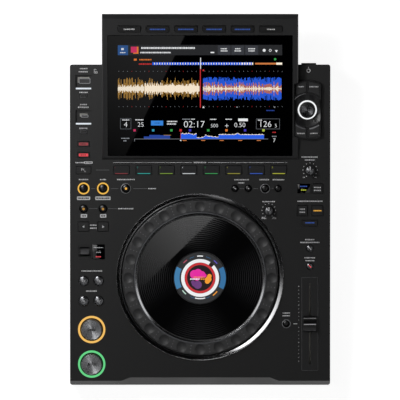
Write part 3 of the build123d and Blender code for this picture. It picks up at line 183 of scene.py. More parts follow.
def spunCap(name, place, code="#a6a7aa", roughness=0.28):
    # the face of a key or knob, turned on a lathe about its own axis
    return wornMetal(name + " spun aluminium", code, roughness, 0.85, place)


def litLens(name, code, strength=1.0):
    # diffusing polycarbonate with a lamp behind it; its own colour is left dark so that the lit
    # one shows as written
    surface = {
        "Base Color": linear("#0a0a0a"),
        "Roughness": 0.3,
        "IOR": 1.58,
        "Emission Color": linear(code),
        "Emission Strength": strength,
    }
    material, tree, shader = newMaterial(name, surface)
    addGrain(tree, shader, 700.0, 2.0, 0.2, 0.01 * mm)
    return material


def printedInk(name, code):
    # screen-printed ink, slightly rougher than the plastic under it, with a faint mesh speckle
    material, tree, shader = newMaterial(name, {"Base Color": linear(code), "Roughness": 0.5})
    addGrain(tree, shader, 2500.0, 1.0, 0.2, 0.01 * mm)
    return material


def groovedAcrylic(name, code, glintCode, place, pitch):
    # gloss acrylic with concentric turned grooves, their pitch in mm; the grooves' flanks are made
    # rougher and painted lighter straight ahead, behind and to the sides, and more towards the rim:
    # a painted reflection of the lights
    material, tree, shader = newMaterial(name, {"Base Color": linear(code), "Roughness": 0.02, "IOR": 1.49})
    coords = addNode(tree, "ShaderNodeTexCoord").outputs["Object"]
    axis = {"vector_type": "TEXTURE", "Location": place.translation, "Rotation": place.to_euler()}
    flat = addNode(tree, "ShaderNodeMapping", axis, {"Vector": coords}).outputs["Vector"]
    spot = addNode(tree, "ShaderNodeVectorMath", {"operation": "MULTIPLY", 1: (1, 1, 0)}, {0: flat})
    spot = spot.outputs["Vector"]
    radius = addNode(tree, "ShaderNodeVectorMath", {"operation": "LENGTH"}, {0: spot}).outputs["Value"]
    wave = reckon(tree, "SINE", reckon(tree, "MULTIPLY", radius, pi / (pitch * mm)))
    flank = reckon(tree, "POWER", wave, 4.0)
    sides = addNode(tree, "ShaderNodeSeparateXYZ", {}, {0: spot}).outputs
    angle = reckon(tree, "ARCTAN2", sides["Y"], sides["X"])
    # the four sectors and the outer part get the lighter flank colour: painted reflection
    lobes = reckon(tree, "COSINE", reckon(tree, "MULTIPLY", angle, 4.0))
    glintSectors = mapped(tree, lobes, (-0.8, 1.0), (0.0, 1.0))
    outward = mapped(tree, radius, (0.025, 0.07), (0.1, 1.0))
    share = reckon(tree, "MULTIPLY", flank, reckon(tree, "MULTIPLY", glintSectors, outward))
    tones = {"data_type": "RGBA", 6: linear(code), 7: linear(glintCode)}
    tone = addNode(tree, "ShaderNodeMix", tones, {0: share})
    tree.links.new(tone.outputs[2], shader.inputs["Base Color"])
    tree.links.new(mapped(tree, share, (0.0, 1.0), (0.008, 0.1)), shader.inputs["Roughness"])
    return material


jogPlace = onDeck(0, rows["jog"])
caseBlack = mouldedPlastic("case moulded ABS", "#0e0e0f", 0.42)
housingBlack = mouldedPlastic("display housing moulded ABS", "#262627", 0.4)
keyBlack = mouldedPlastic("key cap ABS", "#131314", 0.36, 0.25)
keyGrey = mouldedPlastic("browse key ABS", "#262627", 0.38, 0.25)
domeBlack = mouldedPlastic("round key gloss ABS", "#0c0c0d", 0.26, 0.3, 0.003)
knobBlack = mouldedPlastic("knob soft-touch ABS", "#121213", 0.5, 0.25)
leverGrey = mouldedPlastic("lever grip ABS", "#2a2a2c", 0.45, 0.25)
podBlack = mouldedPlastic("browse pod satin ABS", "#121214", 0.34, 0.5, 0.002)
bandBlack = mouldedPlastic("jog wheel rim ABS", "#3c3c3d", 0.5, 0.3)
keyRubber = mouldedPlastic("key silicone rubber", "#1f1f21", 0.5, 0.3, 0.02, 1.43)
footRubber = mouldedPlastic("foot natural rubber", "#0e0e0e", 0.75, 0.4, 0.05, 1.52)
powderCoat = mouldedPlastic("tray powder coat", "#0d0d0e", 0.5, 0.7, 0.05)
coverGlass = mouldedPlastic("display cover glass", "#010102", 0.01, 3.0, 0.0002, 1.5)
jogGlass = mouldedPlastic("jog display acrylic", "#121213", 0.12, 3.0, 0.0004, 1.49)
solderMask = mouldedPlastic("circuit board solder mask", "#0d3b1e", 0.35, 0.6, 0.01)
socketBlack = mouldedPlastic("socket moulded PBT", "#101011", 0.35)
pocketBlack = mouldedPlastic("port pocket ABS", "#343436", 0.45)
shellBright = wornMetal("socket shell rolled edge", "#a8a9ac", 0.5)
portNickel = wornMetal("port satin nickel plate", "#c4c2bc", 0.45)
screwZinc = wornMetal("screw black zinc plate", "#4a4a4d", 0.35)
jackGold = wornMetal("jack gold plate", "#c9a24a", 0.25)
groundSteel = wornMetal("bearing ground steel", "#a9abad", 0.2)
trimMetal = wornMetal("jog trim polished aluminium", "#d4d4d6", 0.08)
brightChrome = wornMetal("jog accent bright chrome", "#dcdde0", 0.12)
lipSatin = wornMetal("jog accent satin lip", "#6e6f72", 0.4)
rimChrome = wornMetal("small key rim chrome", "#b4b5b8", 0.3)
whiteInk = printedInk("white screen print", "#ececee")
paleInk = printedInk("bright white screen print", "#e4e4e6")
greyInk = printedInk("grey screen print", "#78787b")
darkInk = printedInk("dark grey screen print", "#2c2c2e")
# its lighter flank colour, in four sectors, is a painted reflection
discBlack = groovedAcrylic("jog disc grooved acrylic with painted glints", "#0b0b0c", "#3c3c3e", jogPlace, 2.5)
cueGlow = litLens("cue ring amber polycarbonate", "#f3bd60")
playGlow = litLens("play ring green polycarbonate", "#62d284")
loopGlow = litLens("loop ring amber polycarbonate", "#f2bb4e")
whiteGlow = litLens("white lit polycarbonate", "#dfe6ee")
browseGlow = litLens("browse ring white polycarbonate", "#f4f6f8")
redGlow = litLens("source lamp red polycarbonate", "#e0404a")
dimRedGlow = litLens("source lamp dim red polycarbonate", "#8f3238")
amberGlow = litLens("key lamp amber polycarbonate", "#f0b040")
amberDimGlow = litLens("key lamp dull amber polycarbonate", "#a8792c")
deepBlueGlow = litLens("display key legend blue polycarbonate", "#2f4f9c")
limeGlow = litLens("mode legend lime polycarbonate", "#b9c63a")
print("materials made:", len(bpy.data.materials))


def selectNone():
    bpy.ops.object.select_all(action="DESELECT")


def only(piece):
    selectNone()
    piece.select_set(True)
    bpy.context.view_layer.objects.active = piece


def editAll():
    bpy.ops.object.mode_set(mode="EDIT")
    bpy.ops.mesh.select_all(action="SELECT")


def editDone():
    bpy.ops.object.mode_set(mode="OBJECT")


def settle(piece, name, place, node, finish, replacing=False):
    # a piece is modelled flat at the origin, then put in its place; it moves with this CAD node,
    # and may stand for it
    only(piece)
    piece.name = name
    piece.data.name = name
    piece.matrix_world = place
    bpy.ops.object.transform_apply(location=True, rotation=True, scale=True)
    piece.data.materials.clear()
    piece.data.materials.append(finish)
    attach(piece, bodyOf[node])
    if replacing:
        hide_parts(node)


def easeEdges(piece, width, angle, segments=2):
    eased = piece.modifiers.new("eased edges", "BEVEL")
    eased.width = width * mm
    eased.segments = segments
    eased.limit_method = "ANGLE"
    eased.angle_limit = radians(angle)
    bpy.ops.object.modifier_apply(modifier=eased.name)


def dress(name, finish, ease):
    # an eased copy of a CAD node stands for it: loose triangles joined, sharp edges rounded
    source = nodes[name]
    piece = source.copy()
    piece.data = source.data.copy()
    for key in list(piece.keys()):
        del piece[key]
    piece.parent = None
    bpy.context.scene.collection.objects.link(piece)
    only(piece)
    editAll()
    bpy.ops.mesh.remove_doubles(threshold=0.000002)
    bpy.ops.mesh.dissolve_limited(angle_limit=radians(0.5))
    editDone()
    if piece.data.has_custom_normals:
        bpy.ops.mesh.customdata_custom_splitnormals_clear()
    easeEdges(piece, ease, 38)
    bpy.ops.object.shade_smooth_by_angle(angle=radians(30))
    even = piece.modifiers.new("even shading", "WEIGHTED_NORMAL")
    even.weight = 100
    even.keep_sharp = True
    bpy.ops.object.modifier_apply(modifier=even.name)
    settle(piece, name + "_eased", Matrix.Identity(4), name, finish, True)


def turned(outline, segments=96, smooth=35):
    # turns a (radius, height) outline round the upright axis, loop by loop
    selectNone()
    steps = [(max(radius, 0.001) * mm, height * mm) for radius, height in outline]
    bpy.ops.mesh.primitive_circle_add(vertices=segments, radius=steps[0][0], location=(0, 0, steps[0][1]))
    piece = bpy.context.object
    editAll()
    bpy.ops.mesh.select_mode(type="VERT")
    bpy.ops.mesh.select_all(action="SELECT")
    for (radius, height), (nextRadius, nextHeight) in zip(steps, steps[1:]):
        bpy.ops.mesh.extrude_region_move(TRANSFORM_OT_translate={"value": (0, 0, nextHeight - height)})
        grow = nextRadius / radius
        bpy.ops.transform.resize(value=(grow, grow, 1), center_override=(0, 0, nextHeight))
    bpy.ops.mesh.select_all(action="SELECT")
    bpy.ops.mesh.remove_doubles(threshold=0.000004)
    bpy.ops.mesh.normals_make_consistent(inside=False)
    editDone()
    bpy.ops.object.transform_apply(location=True, rotation=True, scale=True)
    bpy.ops.object.shade_smooth_by_angle(angle=radians(smooth))
    return piece


def slab(width, length, thickness, ease, corner):
    # a moulded plate on the origin, with rounded upright corners and an eased top edge
    selectNone()
    bpy.ops.mesh.primitive_cube_add(size=1, location=(0, 0, 0.5))
    piece = bpy.context.object
    bpy.ops.object.transform_apply(location=True, rotation=False, scale=False)
    editAll()
    bpy.ops.transform.resize(value=(width * mm, length * mm, thickness * mm), center_override=(0, 0, 0))
    editDone()
    easeEdges(piece, corner, 80, 4)
    easeEdges(piece, ease, 60)
    bpy.ops.object.shade_smooth_by_angle(angle=radians(30))
    return piece


def planeInEdit():
    selectNone()
    bpy.ops.mesh.primitive_plane_add(size=1, location=(0, 0, 0))
    editAll()
    return bpy.context.object


def wordBars(x, y, width, height=1.5):
    # stands for a short printed word: small blocks of uneven width in a row
    blocks = []
    left = x - width / 2
    step = int(abs(x) + abs(y))
    while left < x + width / 2 - 0.5:
        block = min(0.8 + 0.3 * (step * 5 % 4), x + width / 2 - left)
        blocks.append((left + block / 2, y, block, height))
        left += block + 0.5
        step += 1
    return blocks


def addDisc(x, y, radius, sides, turn=0.0):
    spot, spin = (x * mm, y * mm, 0), (0, 0, radians(turn))
    bpy.ops.mesh.primitive_circle_add(
        vertices=sides, radius=radius * mm, fill_type="NGON", location=spot, rotation=spin
    )


def flatMarks(bars=(), words=(), dots=(), arrows=(), rings=(), corner=0.0):
    # flat print: bars and words are (x, y, width, height), dots (x, y, radius), arrows (x, y,
    # radius, degrees) and rings (x, y, outer radius, inner radius)
    piece = planeInEdit()
    bpy.ops.mesh.delete(type="VERT")
    for x, y, width, height in [*bars, *(block for word in words for block in wordBars(*word))]:
        bpy.ops.mesh.primitive_plane_add(size=1, location=(x * mm, y * mm, 0))
        bpy.ops.transform.resize(value=(width * mm, height * mm, 1), center_override=(x * mm, y * mm, 0))
        if corner:
            bpy.ops.mesh.bevel(offset=corner * mm, offset_type="OFFSET", segments=4, affect="VERTICES")
    for x, y, radius in dots:
        addDisc(x, y, radius, 20)
    for x, y, radius, angle in arrows:
        addDisc(x, y, radius, 3, angle - 90)
    for x, y, outer, inner in rings:
        addDisc(x, y, outer, 48)
        bpy.ops.mesh.inset(thickness=(outer - inner) * mm, depth=0)
        bpy.ops.mesh.delete(type="FACE")
    editDone()
    return piece


def stamp(name, place, node, finish, **shapes):
    settle(flatMarks(**shapes), name, place, node, finish)


def joined(pieces):
    selectNone()
    for piece in pieces:
        piece.select_set(True)
    bpy.context.view_layer.objects.active = pieces[0]
    if len(pieces) > 1:
        bpy.ops.object.join()
    return pieces[0]


def numerals(entries):
    # plain numbers as flat mesh: entries are (text, x, y, height of a digit)
    made = []
    for text, x, y, height in entries:
        selectNone()
        bpy.ops.object.text_add(location=(x * mm, y * mm, 0))
        letters = bpy.context.object
        letters.data.body = text
        letters.data.size = height * mm / 0.69  # a digit fills this share of the type size
        letters.data.align_x = "CENTER"
        letters.data.align_y = "CENTER"
        letters.data.resolution_u = 4
        letters.data.offset = -0.018 * height * mm  # a lighter stroke
        bpy.ops.object.convert(target="MESH")
        made.append(bpy.context.object)
    piece = joined(made)
    bpy.ops.object.transform_apply(location=True, rotation=True, scale=True)
    return piece


def arcBand(outer, inner, start, end, segments=48):
    # a flat slice of a ring, spun from one radial edge; angles in degrees
    piece = planeInEdit()
    bpy.ops.mesh.delete(type="ONLY_FACE")
    editDone()
    for vertex, radius in zip(piece.data.vertices, (inner, outer, inner, outer)):
        vertex.co = (radius * mm * cos(radians(start)), radius * mm * sin(radians(start)), 0)
    editAll()
    bpy.ops.mesh.remove_doubles(threshold=0.000001)
    bpy.ops.mesh.spin(steps=segments, angle=radians(start - end), center=(0, 0, 0), axis=(0, 0, 1))
    bpy.ops.mesh.select_all(action="SELECT")
    bpy.ops.mesh.remove_doubles(threshold=0.000001)
    bpy.ops.mesh.normals_make_consistent(inside=False)
    editDone()
    if piece.data.polygons[0].normal.z < 0:
        bpy.ops.object.mode_set(mode="EDIT")
        bpy.ops.mesh.flip_normals()
        editDone()
    return piece


def flutedKnob(outline, segments, flutes, depth):
    # a turned knob whose wall faces are drawn in, one face in every few, to leave grip flutes
    piece = turned(outline, segments, 40)
    reach = max(radius for radius, height in outline) * mm
    bpy.ops.object.mode_set(mode="EDIT")
    bpy.ops.mesh.select_all(action="DESELECT")
    bpy.ops.mesh.select_mode(type="FACE")
    editDone()
    for polygon in piece.data.polygons:
        centre = Vector((polygon.center.x, polygon.center.y))
        around = Vector((1, 0)).angle_signed(centre, 0.0) * flutes / (2 * pi)
        onWall = abs(polygon.normal.z) < 0.3 and centre.length > reach * 0.93
        polygon.select = onWall and around % 1.0 < 0.5
    bpy.ops.object.mode_set(mode="EDIT")
    bpy.ops.mesh.inset(thickness=0.00005, depth=-depth * mm)
    editDone()
    bpy.ops.object.shade_smooth_by_angle(angle=radians(30))
    return piece


# camera straight above, in metres: frameWidth is what it sees across at this level over the floor
view = {"height": 18.07, "level": 0.07, "frameWidth": 0.5055, "aimX": -0.0001, "aimY": -0.0003, "sensor": 36}
camera = bpy.data.objects.new("camera", bpy.data.cameras.new("camera"))
bpy.context.scene.collection.objects.link(camera)
camera.location = (view["aimX"], view["aimY"], view["height"])
camera.data.sensor_width = view["sensor"]
camera.data.lens = view["sensor"] * (view["height"] - view["level"]) / view["frameWidth"]
camera.data.clip_start = 0.5
camera.data.clip_end = 60
bpy.context.scene.camera = camera
bpy.context.scene.view_settings.view_transform = "Standard"

# floor: matt paper that keeps its shadow, seen near white by the camera and in reflections
studio = {"floorGlow": 0.93, "ceiling": 0.015, "walls": 0.25}
selectNone()
bpy.ops.mesh.primitive_plane_add(size=24, location=(0, 0, -0.0004))
floor = bpy.context.object
floor.name = "floor"
paper, tree, shader = newMaterial("floor matt paper", {"Base Color": linear("#c4c4c4"), "Roughness": 0.9})
seen = addNode(tree, "ShaderNodeLightPath").outputs
lit = reckon(tree, "ADD", seen["Is Camera Ray"], seen["Is Glossy Ray"])
lit = reckon(tree, "ADD", lit, seen["Is Transmission Ray"], True)
level = reckon(tree, "MULTIPLY", lit, studio["floorGlow"])
glow = addNode(tree, "ShaderNodeEmission", {"Color": (1, 1, 1, 1)}, {"Strength": level})
layers = {0: shader.outputs["BSDF"], 1: glow.outputs["Emission"]}
both = addNode(tree, "ShaderNodeAddShader", {}, layers)
tree.links.new(both.outputs["Shader"], tree.nodes["Material Output"].inputs["Surface"])
floor.data.materials.append(paper)

# the room: pale walls and a dark ceiling, so that gloss black stays black seen from above
world = bpy.data.worlds.new("studio")
bpy.context.scene.world = world
world.use_nodes = True
tree = world.node_tree
direction = addNode(tree, "ShaderNodeTexCoord").outputs["Generated"]
upward = addNode(tree, "ShaderNodeSeparateXYZ", {}, {0: direction}).outputs["Z"]
shade = mapped(tree, upward, (0.4, 0.85), (studio["walls"], studio["ceiling"]), "SMOOTHSTEP")
tree.links.new(shade, tree.nodes["Background"].inputs["Strength"])

# area lamps: place and size in metres, radiance of the sheet, point that it faces
lamps = {
    "key softbox": ((-0.46, 0.39, 1.1), (0.36, 0.36), 14.0, (0, 0, 0.07)),
    "ring strip left": ((-0.335, -0.27, 1.05), (0.86, 0.17), 0.7, (0, -0.1, 0.07)),
    "ring strip right": ((0.335, -0.27, 1.05), (0.86, 0.17), 0.7, (0, -0.1, 0.07)),
}
for name, (place, size, radiance, aim) in lamps.items():
    lamp = bpy.data.objects.new(name, bpy.data.lights.new(name, "AREA"))
    lamp.data.shape = "RECTANGLE"
    lamp.data.size, lamp.data.size_y = size
    lamp.data.energy = radiance * pi * size[0] * size[1]
    lamp.location = place
    lamp.rotation_euler = (Vector(aim) - Vector(place)).to_track_quat("-Z", "Y").to_euler()
    lamp.visible_camera = False
    bpy.context.scene.collection.objects.link(lamp)

# hanging cards, out of the camera's sight: the edges of two give the slanted reflections in the
# display and the jog disc, and the third lights the near right of the trim ring
cards = {
    # middle of the card in metres, its size, turn in degrees, and how brightly its upper end glows
    "display card": ((-0.1284, -1.1859, 3.0), (0.17, 0.36), -24.1, 0.6),
    "disc card": ((-0.0604, -0.5357, 3.0), (0.12, 0.2), -45.5, 2.7),
    "trim card": ((-0.57, -0.27, 3.0), (0.56, 0.7), 0.0, 3.4),
}
for name, (place, size, turn, strength) in cards.items():
    selectNone()
    bpy.ops.mesh.primitive_plane_add(size=1, location=(0, 0, 0))
    card = bpy.context.object
    card.name = name.replace(" ", "_")
    card.scale = (*size, 1)
    bpy.ops.object.transform_apply(location=False, rotation=False, scale=True)
    card.location = place
    card.rotation_euler = (0, 0, radians(turn))
    sheet, tree, shader = newMaterial(name + " lit fabric", {"Base Color": linear("#050505")})
    shader.inputs["Emission Color"].default_value = (1, 1, 1, 1)
    coords = addNode(tree, "ShaderNodeTexCoord").outputs["Object"]
    up = addNode(tree, "ShaderNodeSeparateXYZ", {}, {0: coords}).outputs["Y"]
    fade = mapped(tree, up, (-size[1] / 2, size[1] / 2), (0.0, strength))
    tree.links.new(fade, shader.inputs["Emission Strength"])
    card.data.materials.append(sheet)
    card.visible_camera = False
print("camera, lamps and floor set")

# moulded parts that keep the CAD's own shape, each with its finish and how far its edges are eased
moulded = {
    "top_cover": (caseBlack, 0.5),
    "base_tray": (powderCoat, 0.3),
    "rear_plate": (powderCoat, 0.2),
    "display_bezel": (housingBlack, 0.5),
    "display_rear_cover": (housingBlack, 0.5),
    "browse_pod": (podBlack, 0.25),
    "jog_platter": (bandBlack, 0.25),
    "rubber_feet": (footRubber, 0.6),
    "mains_inlet": (socketBlack, 0.2),
    "fader_bezel": (keyBlack, 0.25),
    "key_sync_button": (keyRubber, 0.25),
    "jog_mode_button": (keyBlack, 0.25),
    "browse_buttons": (keyGrey, 0.25),
    "beat_jump_buttons": (keyBlack, 0.25),
    "beat_sync_button": (keyBlack, 0.25),
    "master_button": (keyBlack, 0.25),
    "side_buttons": (keyBlack, 0.25),
    "display_buttons": (keyBlack, 0.25),
    "direction_lever": (leverGrey, 0.25),
    "tempo_fader_cap": (knobBlack, 0.25),
}
moulded.update({"hot_cue_button_%d" % number: (keyRubber, 0.25) for number in range(1, 9)})
for name, (finish, ease) in moulded.items():
    dress(name, finish, ease)
print("housings and keys eased")

# parts that stay as the CAD made them
plainFinishes = {
    "touch_display": coverGlass,
    "jog_base": caseBlack,
    "jog_top_disc": discBlack,
    "jog_display": jogGlass,
    "jog_bearing": groundSteel,
    "jog_code_wheel": groundSteel,
    "fader_body": portNickel,
    "panel_board": solderMask,
    "inner_boards": solderMask,
    "lan_jack": portNickel,
    "rear_jacks": jackGold,
    "usb_ports": portNickel,
    "base_screws": screwZinc,
    "browse_shaft": groundSteel,
    "power_button": keyBlack,
}
for name, finish in plainFinishes.items():
    nodes[name].data.materials.clear()
    nodes[name].data.materials.append(finish)

# lit rings round the keys, in place of the one-shot lens moulding
pod = {"x": 135.4, "distance": 348.3, "floor": 5.5, "rim": 9.0, "dish": 21.2, "keyTop": 9.66}
podPlace = onDeck(pod["x"], pod["distance"])
ringEase = 0.25
lensRings = {
    # name: place, outer and inner radius, bottom and top, finish
    "cue_ring": (atKey("transport", "cue"), 17.3, 14.7, -1.0, 0.6, cueGlow),
    "play_ring": (atKey("transport", "play"), 17.3, 14.7, -1.0, 0.6, playGlow),
    "loop_in_ring": (atKey("left", "loop"), 7.5, 5.9, -1.0, 0.6, loopGlow),
    "loop_out_ring": (atKey("leftInner", "loop"), 7.5, 5.9, -1.0, 0.6, loopGlow),
    "browse_ring": (podPlace, 12.1, 10.1, pod["floor"] - 0.8, pod["floor"] + 0.6, browseGlow),
}
for name, (place, outer, inner, bottom, top, finish) in lensRings.items():
    outline = [
        (inner, bottom), (outer, bottom), (outer, top - ringEase), (outer - ringEase, top),
        (inner + ringEase, top), (inner, top - ringEase), (inner, bottom),
    ]
    settle(turned(outline, 64), name, place, "indicator_lenses", finish, True)

# small windows and light bars set into the panel
panes = {
    # name: x, distance, sink, finish, and width, length, thickness, edge and corner of the slab
    "direction_window": (-128.5, rows["direction"], 0.7, coverGlass, (16.2, 18.6, 1.0, 0.15, 0.5)),
    "mode_window": (131.1, rows["loop"], 0.7, coverGlass, (16.2, 11.9, 1.0, 0.15, 0.5)),
    "port_bar_1": (columns["left"], 374.7, 0.5, whiteGlow, (19.4, 2.0, 1.0, 0.2, 0.9)),
    "port_bar_2": (columns["left"], 330.3, 0.5, whiteGlow, (19.4, 2.0, 1.0, 0.2, 0.9)),
}
for name, (x, distance, sink, finish, size) in panes.items():
    settle(slab(*size), name, onDeck(x, distance, -sink), "indicator_lenses", finish, True)

# bright rolled edges and dark mouths over the two port shells
portShell = {"depth": 5.34, "wall": 0.65, "corner": 1.2}
portMouths = {
    # name: x, distance, width and length of the shell
    "usb_a": (-145.8, 383.8, 14.2, 6.6),
    "usb_c": (-145.8, 339.4, 9.2, 3.4),
}
for name, (x, distance, width, length) in portMouths.items():
    place = onDeck(x, distance, -portShell["depth"])
    shell, inset = [(0, 0, width, length)], 2 * portShell["wall"]
    stamp(name + "_shell_edge", place, "usb_ports", shellBright, bars=shell, corner=portShell["corner"])
    mouth = [(0, 0, width - inset, length - inset)]
    stamp(name + "_mouth", raised(place, 0.04), "usb_ports", pocketBlack, bars=mouth, corner=0.9)
print("lit rings, windows and ports made")

# cue and play: black collar and spun metal cap on each pressed key
bigKey = {"bore": 12.0, "collar": 14.2, "foot": -3.0, "shoulder": 1.6, "cap": 13.1, "top": 5.0, "dish": 0.35}
bore, collar, cap = bigKey["bore"], bigKey["collar"], bigKey["cap"]
foot, shoulder, top, dish = bigKey["foot"], bigKey["shoulder"], bigKey["top"], bigKey["dish"]
collarLine = [
    (bore, foot), (collar, foot), (collar, shoulder - 0.4), (collar - 0.4, shoulder),
    (bore, shoulder), (bore, foot),
]
capLine = [
    (0, top - dish), (6.0, top - dish * 0.8), (11.4, top - 0.1), (12.3, top), (12.8, top - 0.3),
    (cap, top - 0.9), (cap, shoulder), (0, shoulder),
]
for row in ("cue", "play"):
    name = row + "_button"
    place = atKey("transport", row)
    settle(turned(collarLine, 72), name + "_collar", place, name, keyBlack, True)
    settle(turned(capLine), name + "_cap", place, name, spunCap(row + " cap", place), True)

# small round keys with a turned dome, of metal or of gloss plastic: each point of its outline is
# a share of the radius and a drop below the top
metalLine = [(0, 0), (0.48, 0.05), (0.79, 0.3), (0.92, 0.6), (0.985, 1.1), (1, 1.7), (1, 5), (0, 5)]
skipRise, loopRise, smallRise = 3.0, 2.4, 2.0
glossLine = [(0, 0), (0.3, 0.06), (0.6, 0.3), (0.85, 0.75), (0.96, 1.2), (1, 1.8), (1, 5), (0, 5)]
metalDomes = {
    # name: key that it stands for, column, row, radius, rise
    "track_back": ("track_back_button", "left", "track", 6.3, skipRise),
    "track_forward": ("track_forward_button", "skip", "track", 6.3, skipRise),
    "search_back": ("search_back_button", "left", "search", 6.3, skipRise),
    "search_forward": ("search_forward_button", "skip", "search", 6.3, skipRise),
    "tempo_range": ("tempo_buttons", "right", "tempoRange", 4.4, smallRise),
    "master_tempo": ("tempo_buttons", "right", "masterTempo", 4.4, smallRise),
}
glossDomes = {
    "loop_in": ("loop_in_button", "left", "loop", 5.4, loopRise),
    "loop_out": ("loop_out_button", "leftInner", "loop", 5.4, loopRise),
    "reloop": ("reloop_button", "reloop", "loop", 5.4, loopRise),
    "halve_loop": ("beat_loop_buttons", "left", "beatLoop", 5.4, loopRise),
    "double_loop": ("beat_loop_buttons", "leftInner", "beatLoop", 5.4, loopRise),
    "call_back": ("memory_buttons", "callBack", "loop", 4.4, smallRise),
    "call_next": ("memory_buttons", "callNext", "loop", 4.4, smallRise),
    "delete": ("memory_buttons", "delete", "loop", 5.0, smallRise),
    "memory": ("memory_buttons", "memory", "loop", 4.4, smallRise),
    "tempo_reset": ("tempo_buttons", "reset", "fader", 4.4, smallRise),
}
for name, (key, column, row, radius, rise) in {**metalDomes, **glossDomes}.items():
    place = atKey(column, row)
    line, finish = glossLine, domeBlack
    if name in metalDomes:
        line, finish = metalLine, spunCap(name.replace("_", " "), place, "#8a8b8e", 0.26)
    outline = [(share * radius, rise - drop) for share, drop in line]
    settle(turned(outline, 64), name + "_dome", place, key, finish, True)

# light rims on the collars moulded round three of the small keys
collarRims = {
    # name: column, row, outer and inner radius
    "reloop_rim": ("reloop", "loop", 6.4, 5.9),
    "delete_rim": ("delete", "loop", 6.0, 5.5),
    "tempo_reset_rim": ("reset", "fader", 5.4, 4.9),
}
for name, (column, row, outer, inner) in collarRims.items():
    rim = turned([(outer, 0.5), (outer, 0.62), (inner, 0.66), (inner, 0.5), (outer, 0.5)], 64)
    settle(rim, name, atKey(column, row), "top_cover", rimChrome)
print("transport keys made")

# jog wheel: satin lip and bright slope over the platter's accent
accent = {"lip": 84.3, "crest": 83.45, "edge": 82.2, "inner": 79.9, "root": 12.8, "top": 13.7}
lip, crest, edge, inner = accent["lip"], accent["crest"], accent["edge"], accent["inner"]
root, top = accent["root"], accent["top"]
lipLine = [(edge, root), (lip, root), (lip, root + 0.12), (crest, top), (edge, top), (edge, root)]
settle(turned(lipLine, 192), "jog_accent_lip", jogPlace, "jog_platter", lipSatin)
slopeLine = [(inner, root), (edge, root), (edge, top + 0.01), (inner, root + 0.29), (inner, root)]
settle(turned(slopeLine, 192), "jog_accent_slope", jogPlace, "jog_platter", brightChrome)

# the fixed trim ring, its lip rolled down towards the wheel
trimLine = [
    (105.7, 0), (105.7, 2.32), (105.6, 2.4), (105.3, 2.4), (104.4, 2.3), (103.4, 2.18),
    (102.4, 2.05), (101.4, 1.92), (100.6, 1.8), (100.1, 1.55), (99.9, 1.1), (99.9, -2.4),
    (104.6, -2.4), (104.6, 0), (105.7, 0),
]
settle(turned(trimLine, 256), "jog_trim_rolled", jogPlace, "jog_trim_ring", trimMetal, True)

# three small dots between each two of the wheel's dimples
positionMarks = {"spacing": 4.0, "middle": 90.7, "radius": 0.6, "height": 12.84, "count": 24}
spots = []
for step in range(positionMarks["count"]):
    angle = 2 * pi * (step + 0.5) / positionMarks["count"]
    for offset in (-1, 0, 1):
        reach = positionMarks["middle"] + offset * positionMarks["spacing"]
        spots.append((reach * cos(angle), reach * sin(angle), positionMarks["radius"]))
stamp("jog_position_marks", raised(jogPlace, positionMarks["height"]), "jog_platter", greyInk, dots=spots)

# jog centre display: lit rings and a generic picture under its acrylic, layer over layer
jogScreen = {"height": 14.44, "step": 0.02, "picture": 16.4}
paneGrey = litLens("jog display backlight grey", "#27282a")
paneBlue = litLens("jog display segment blue", "#3b7aa8")
paneDeepBlue = litLens("jog display segment deep blue", "#2f6c9c")
paneWhite = litLens("jog display ring white", "#eceef0")
paneRed = litLens("jog display ring red", "#c42a30")
paneBlack = litLens("jog display picture ground", "#16060c")
paneMagenta = litLens("jog display picture magenta", "#e0289c")
paneOrange = litLens("jog display picture orange", "#f09a2c")
panePurple = litLens("jog display picture purple", "#6a3a78")
panePink = litLens("jog display mark pink", "#a8485e")
paneViolet = litLens("jog display mark violet", "#5c50b8")
panePale = litLens("jog display mark pale green", "#b8d8c8")


def jogLayer(layer):
    return raised(jogPlace, jogScreen["height"] + layer * jogScreen["step"])


jogBands = {
    # name: finish, layer, and outer and inner radius, start and end in degrees
    "annulus": (paneGrey, 0, (32.6, 15.8, 0, 360)),
    "left": (paneBlue, 1, (32.6, 25.9, 154, 206)),
    "right": (paneDeepBlue, 1, (32.6, 25.9, -26, 26)),
    "ring": (paneWhite, 1, (24.0, 19.7, 57, 403)),
    "notch": (paneBlack, 1, (24.0, 19.7, 43, 57)),
    "red": (paneRed, 1, (19.5, 16.5, 0, 360)),
}
for name, (finish, layer, band) in jogBands.items():
    settle(arcBand(*band), "jog_screen_" + name, jogLayer(layer), "jog_display", finish)

# short marks between the rings, each turned along its circle
jogMarks = {
    # name: finish, half thickness, and each mark's angle in degrees, radius and length
    "pink": (panePink, 0.65, ((132, 28.2, 6.0),)),
    "violet": (paneViolet, 0.65, ((46, 28.2, 6.0),)),
    "pale": (panePale, 0.65, ((222, 27.2, 6.5),)),
    "orange": (paneOrange, 0.65, ((314, 27.4, 7.5),)),
    "white": (paneWhite, 0.65, ((90, 27.9, 7.5), (270, 26.2, 13.0))),
    "fine": (paneDeepBlue, 0.25, ((112, 27.9, 6.0), (68, 27.9, 6.0), (248, 26.6, 5.0), (292, 26.6, 5.0))),
}
for name, (finish, thick, spots) in jogMarks.items():
    arcs = []
    for angle, reach, length in spots:
        half = 90 * length / (pi * reach)
        arcs.append(arcBand(reach + thick, reach - thick, angle - half, angle + half, 8))
    settle(joined(arcs), "jog_mark_" + name, jogLayer(1), "jog_display", finish)

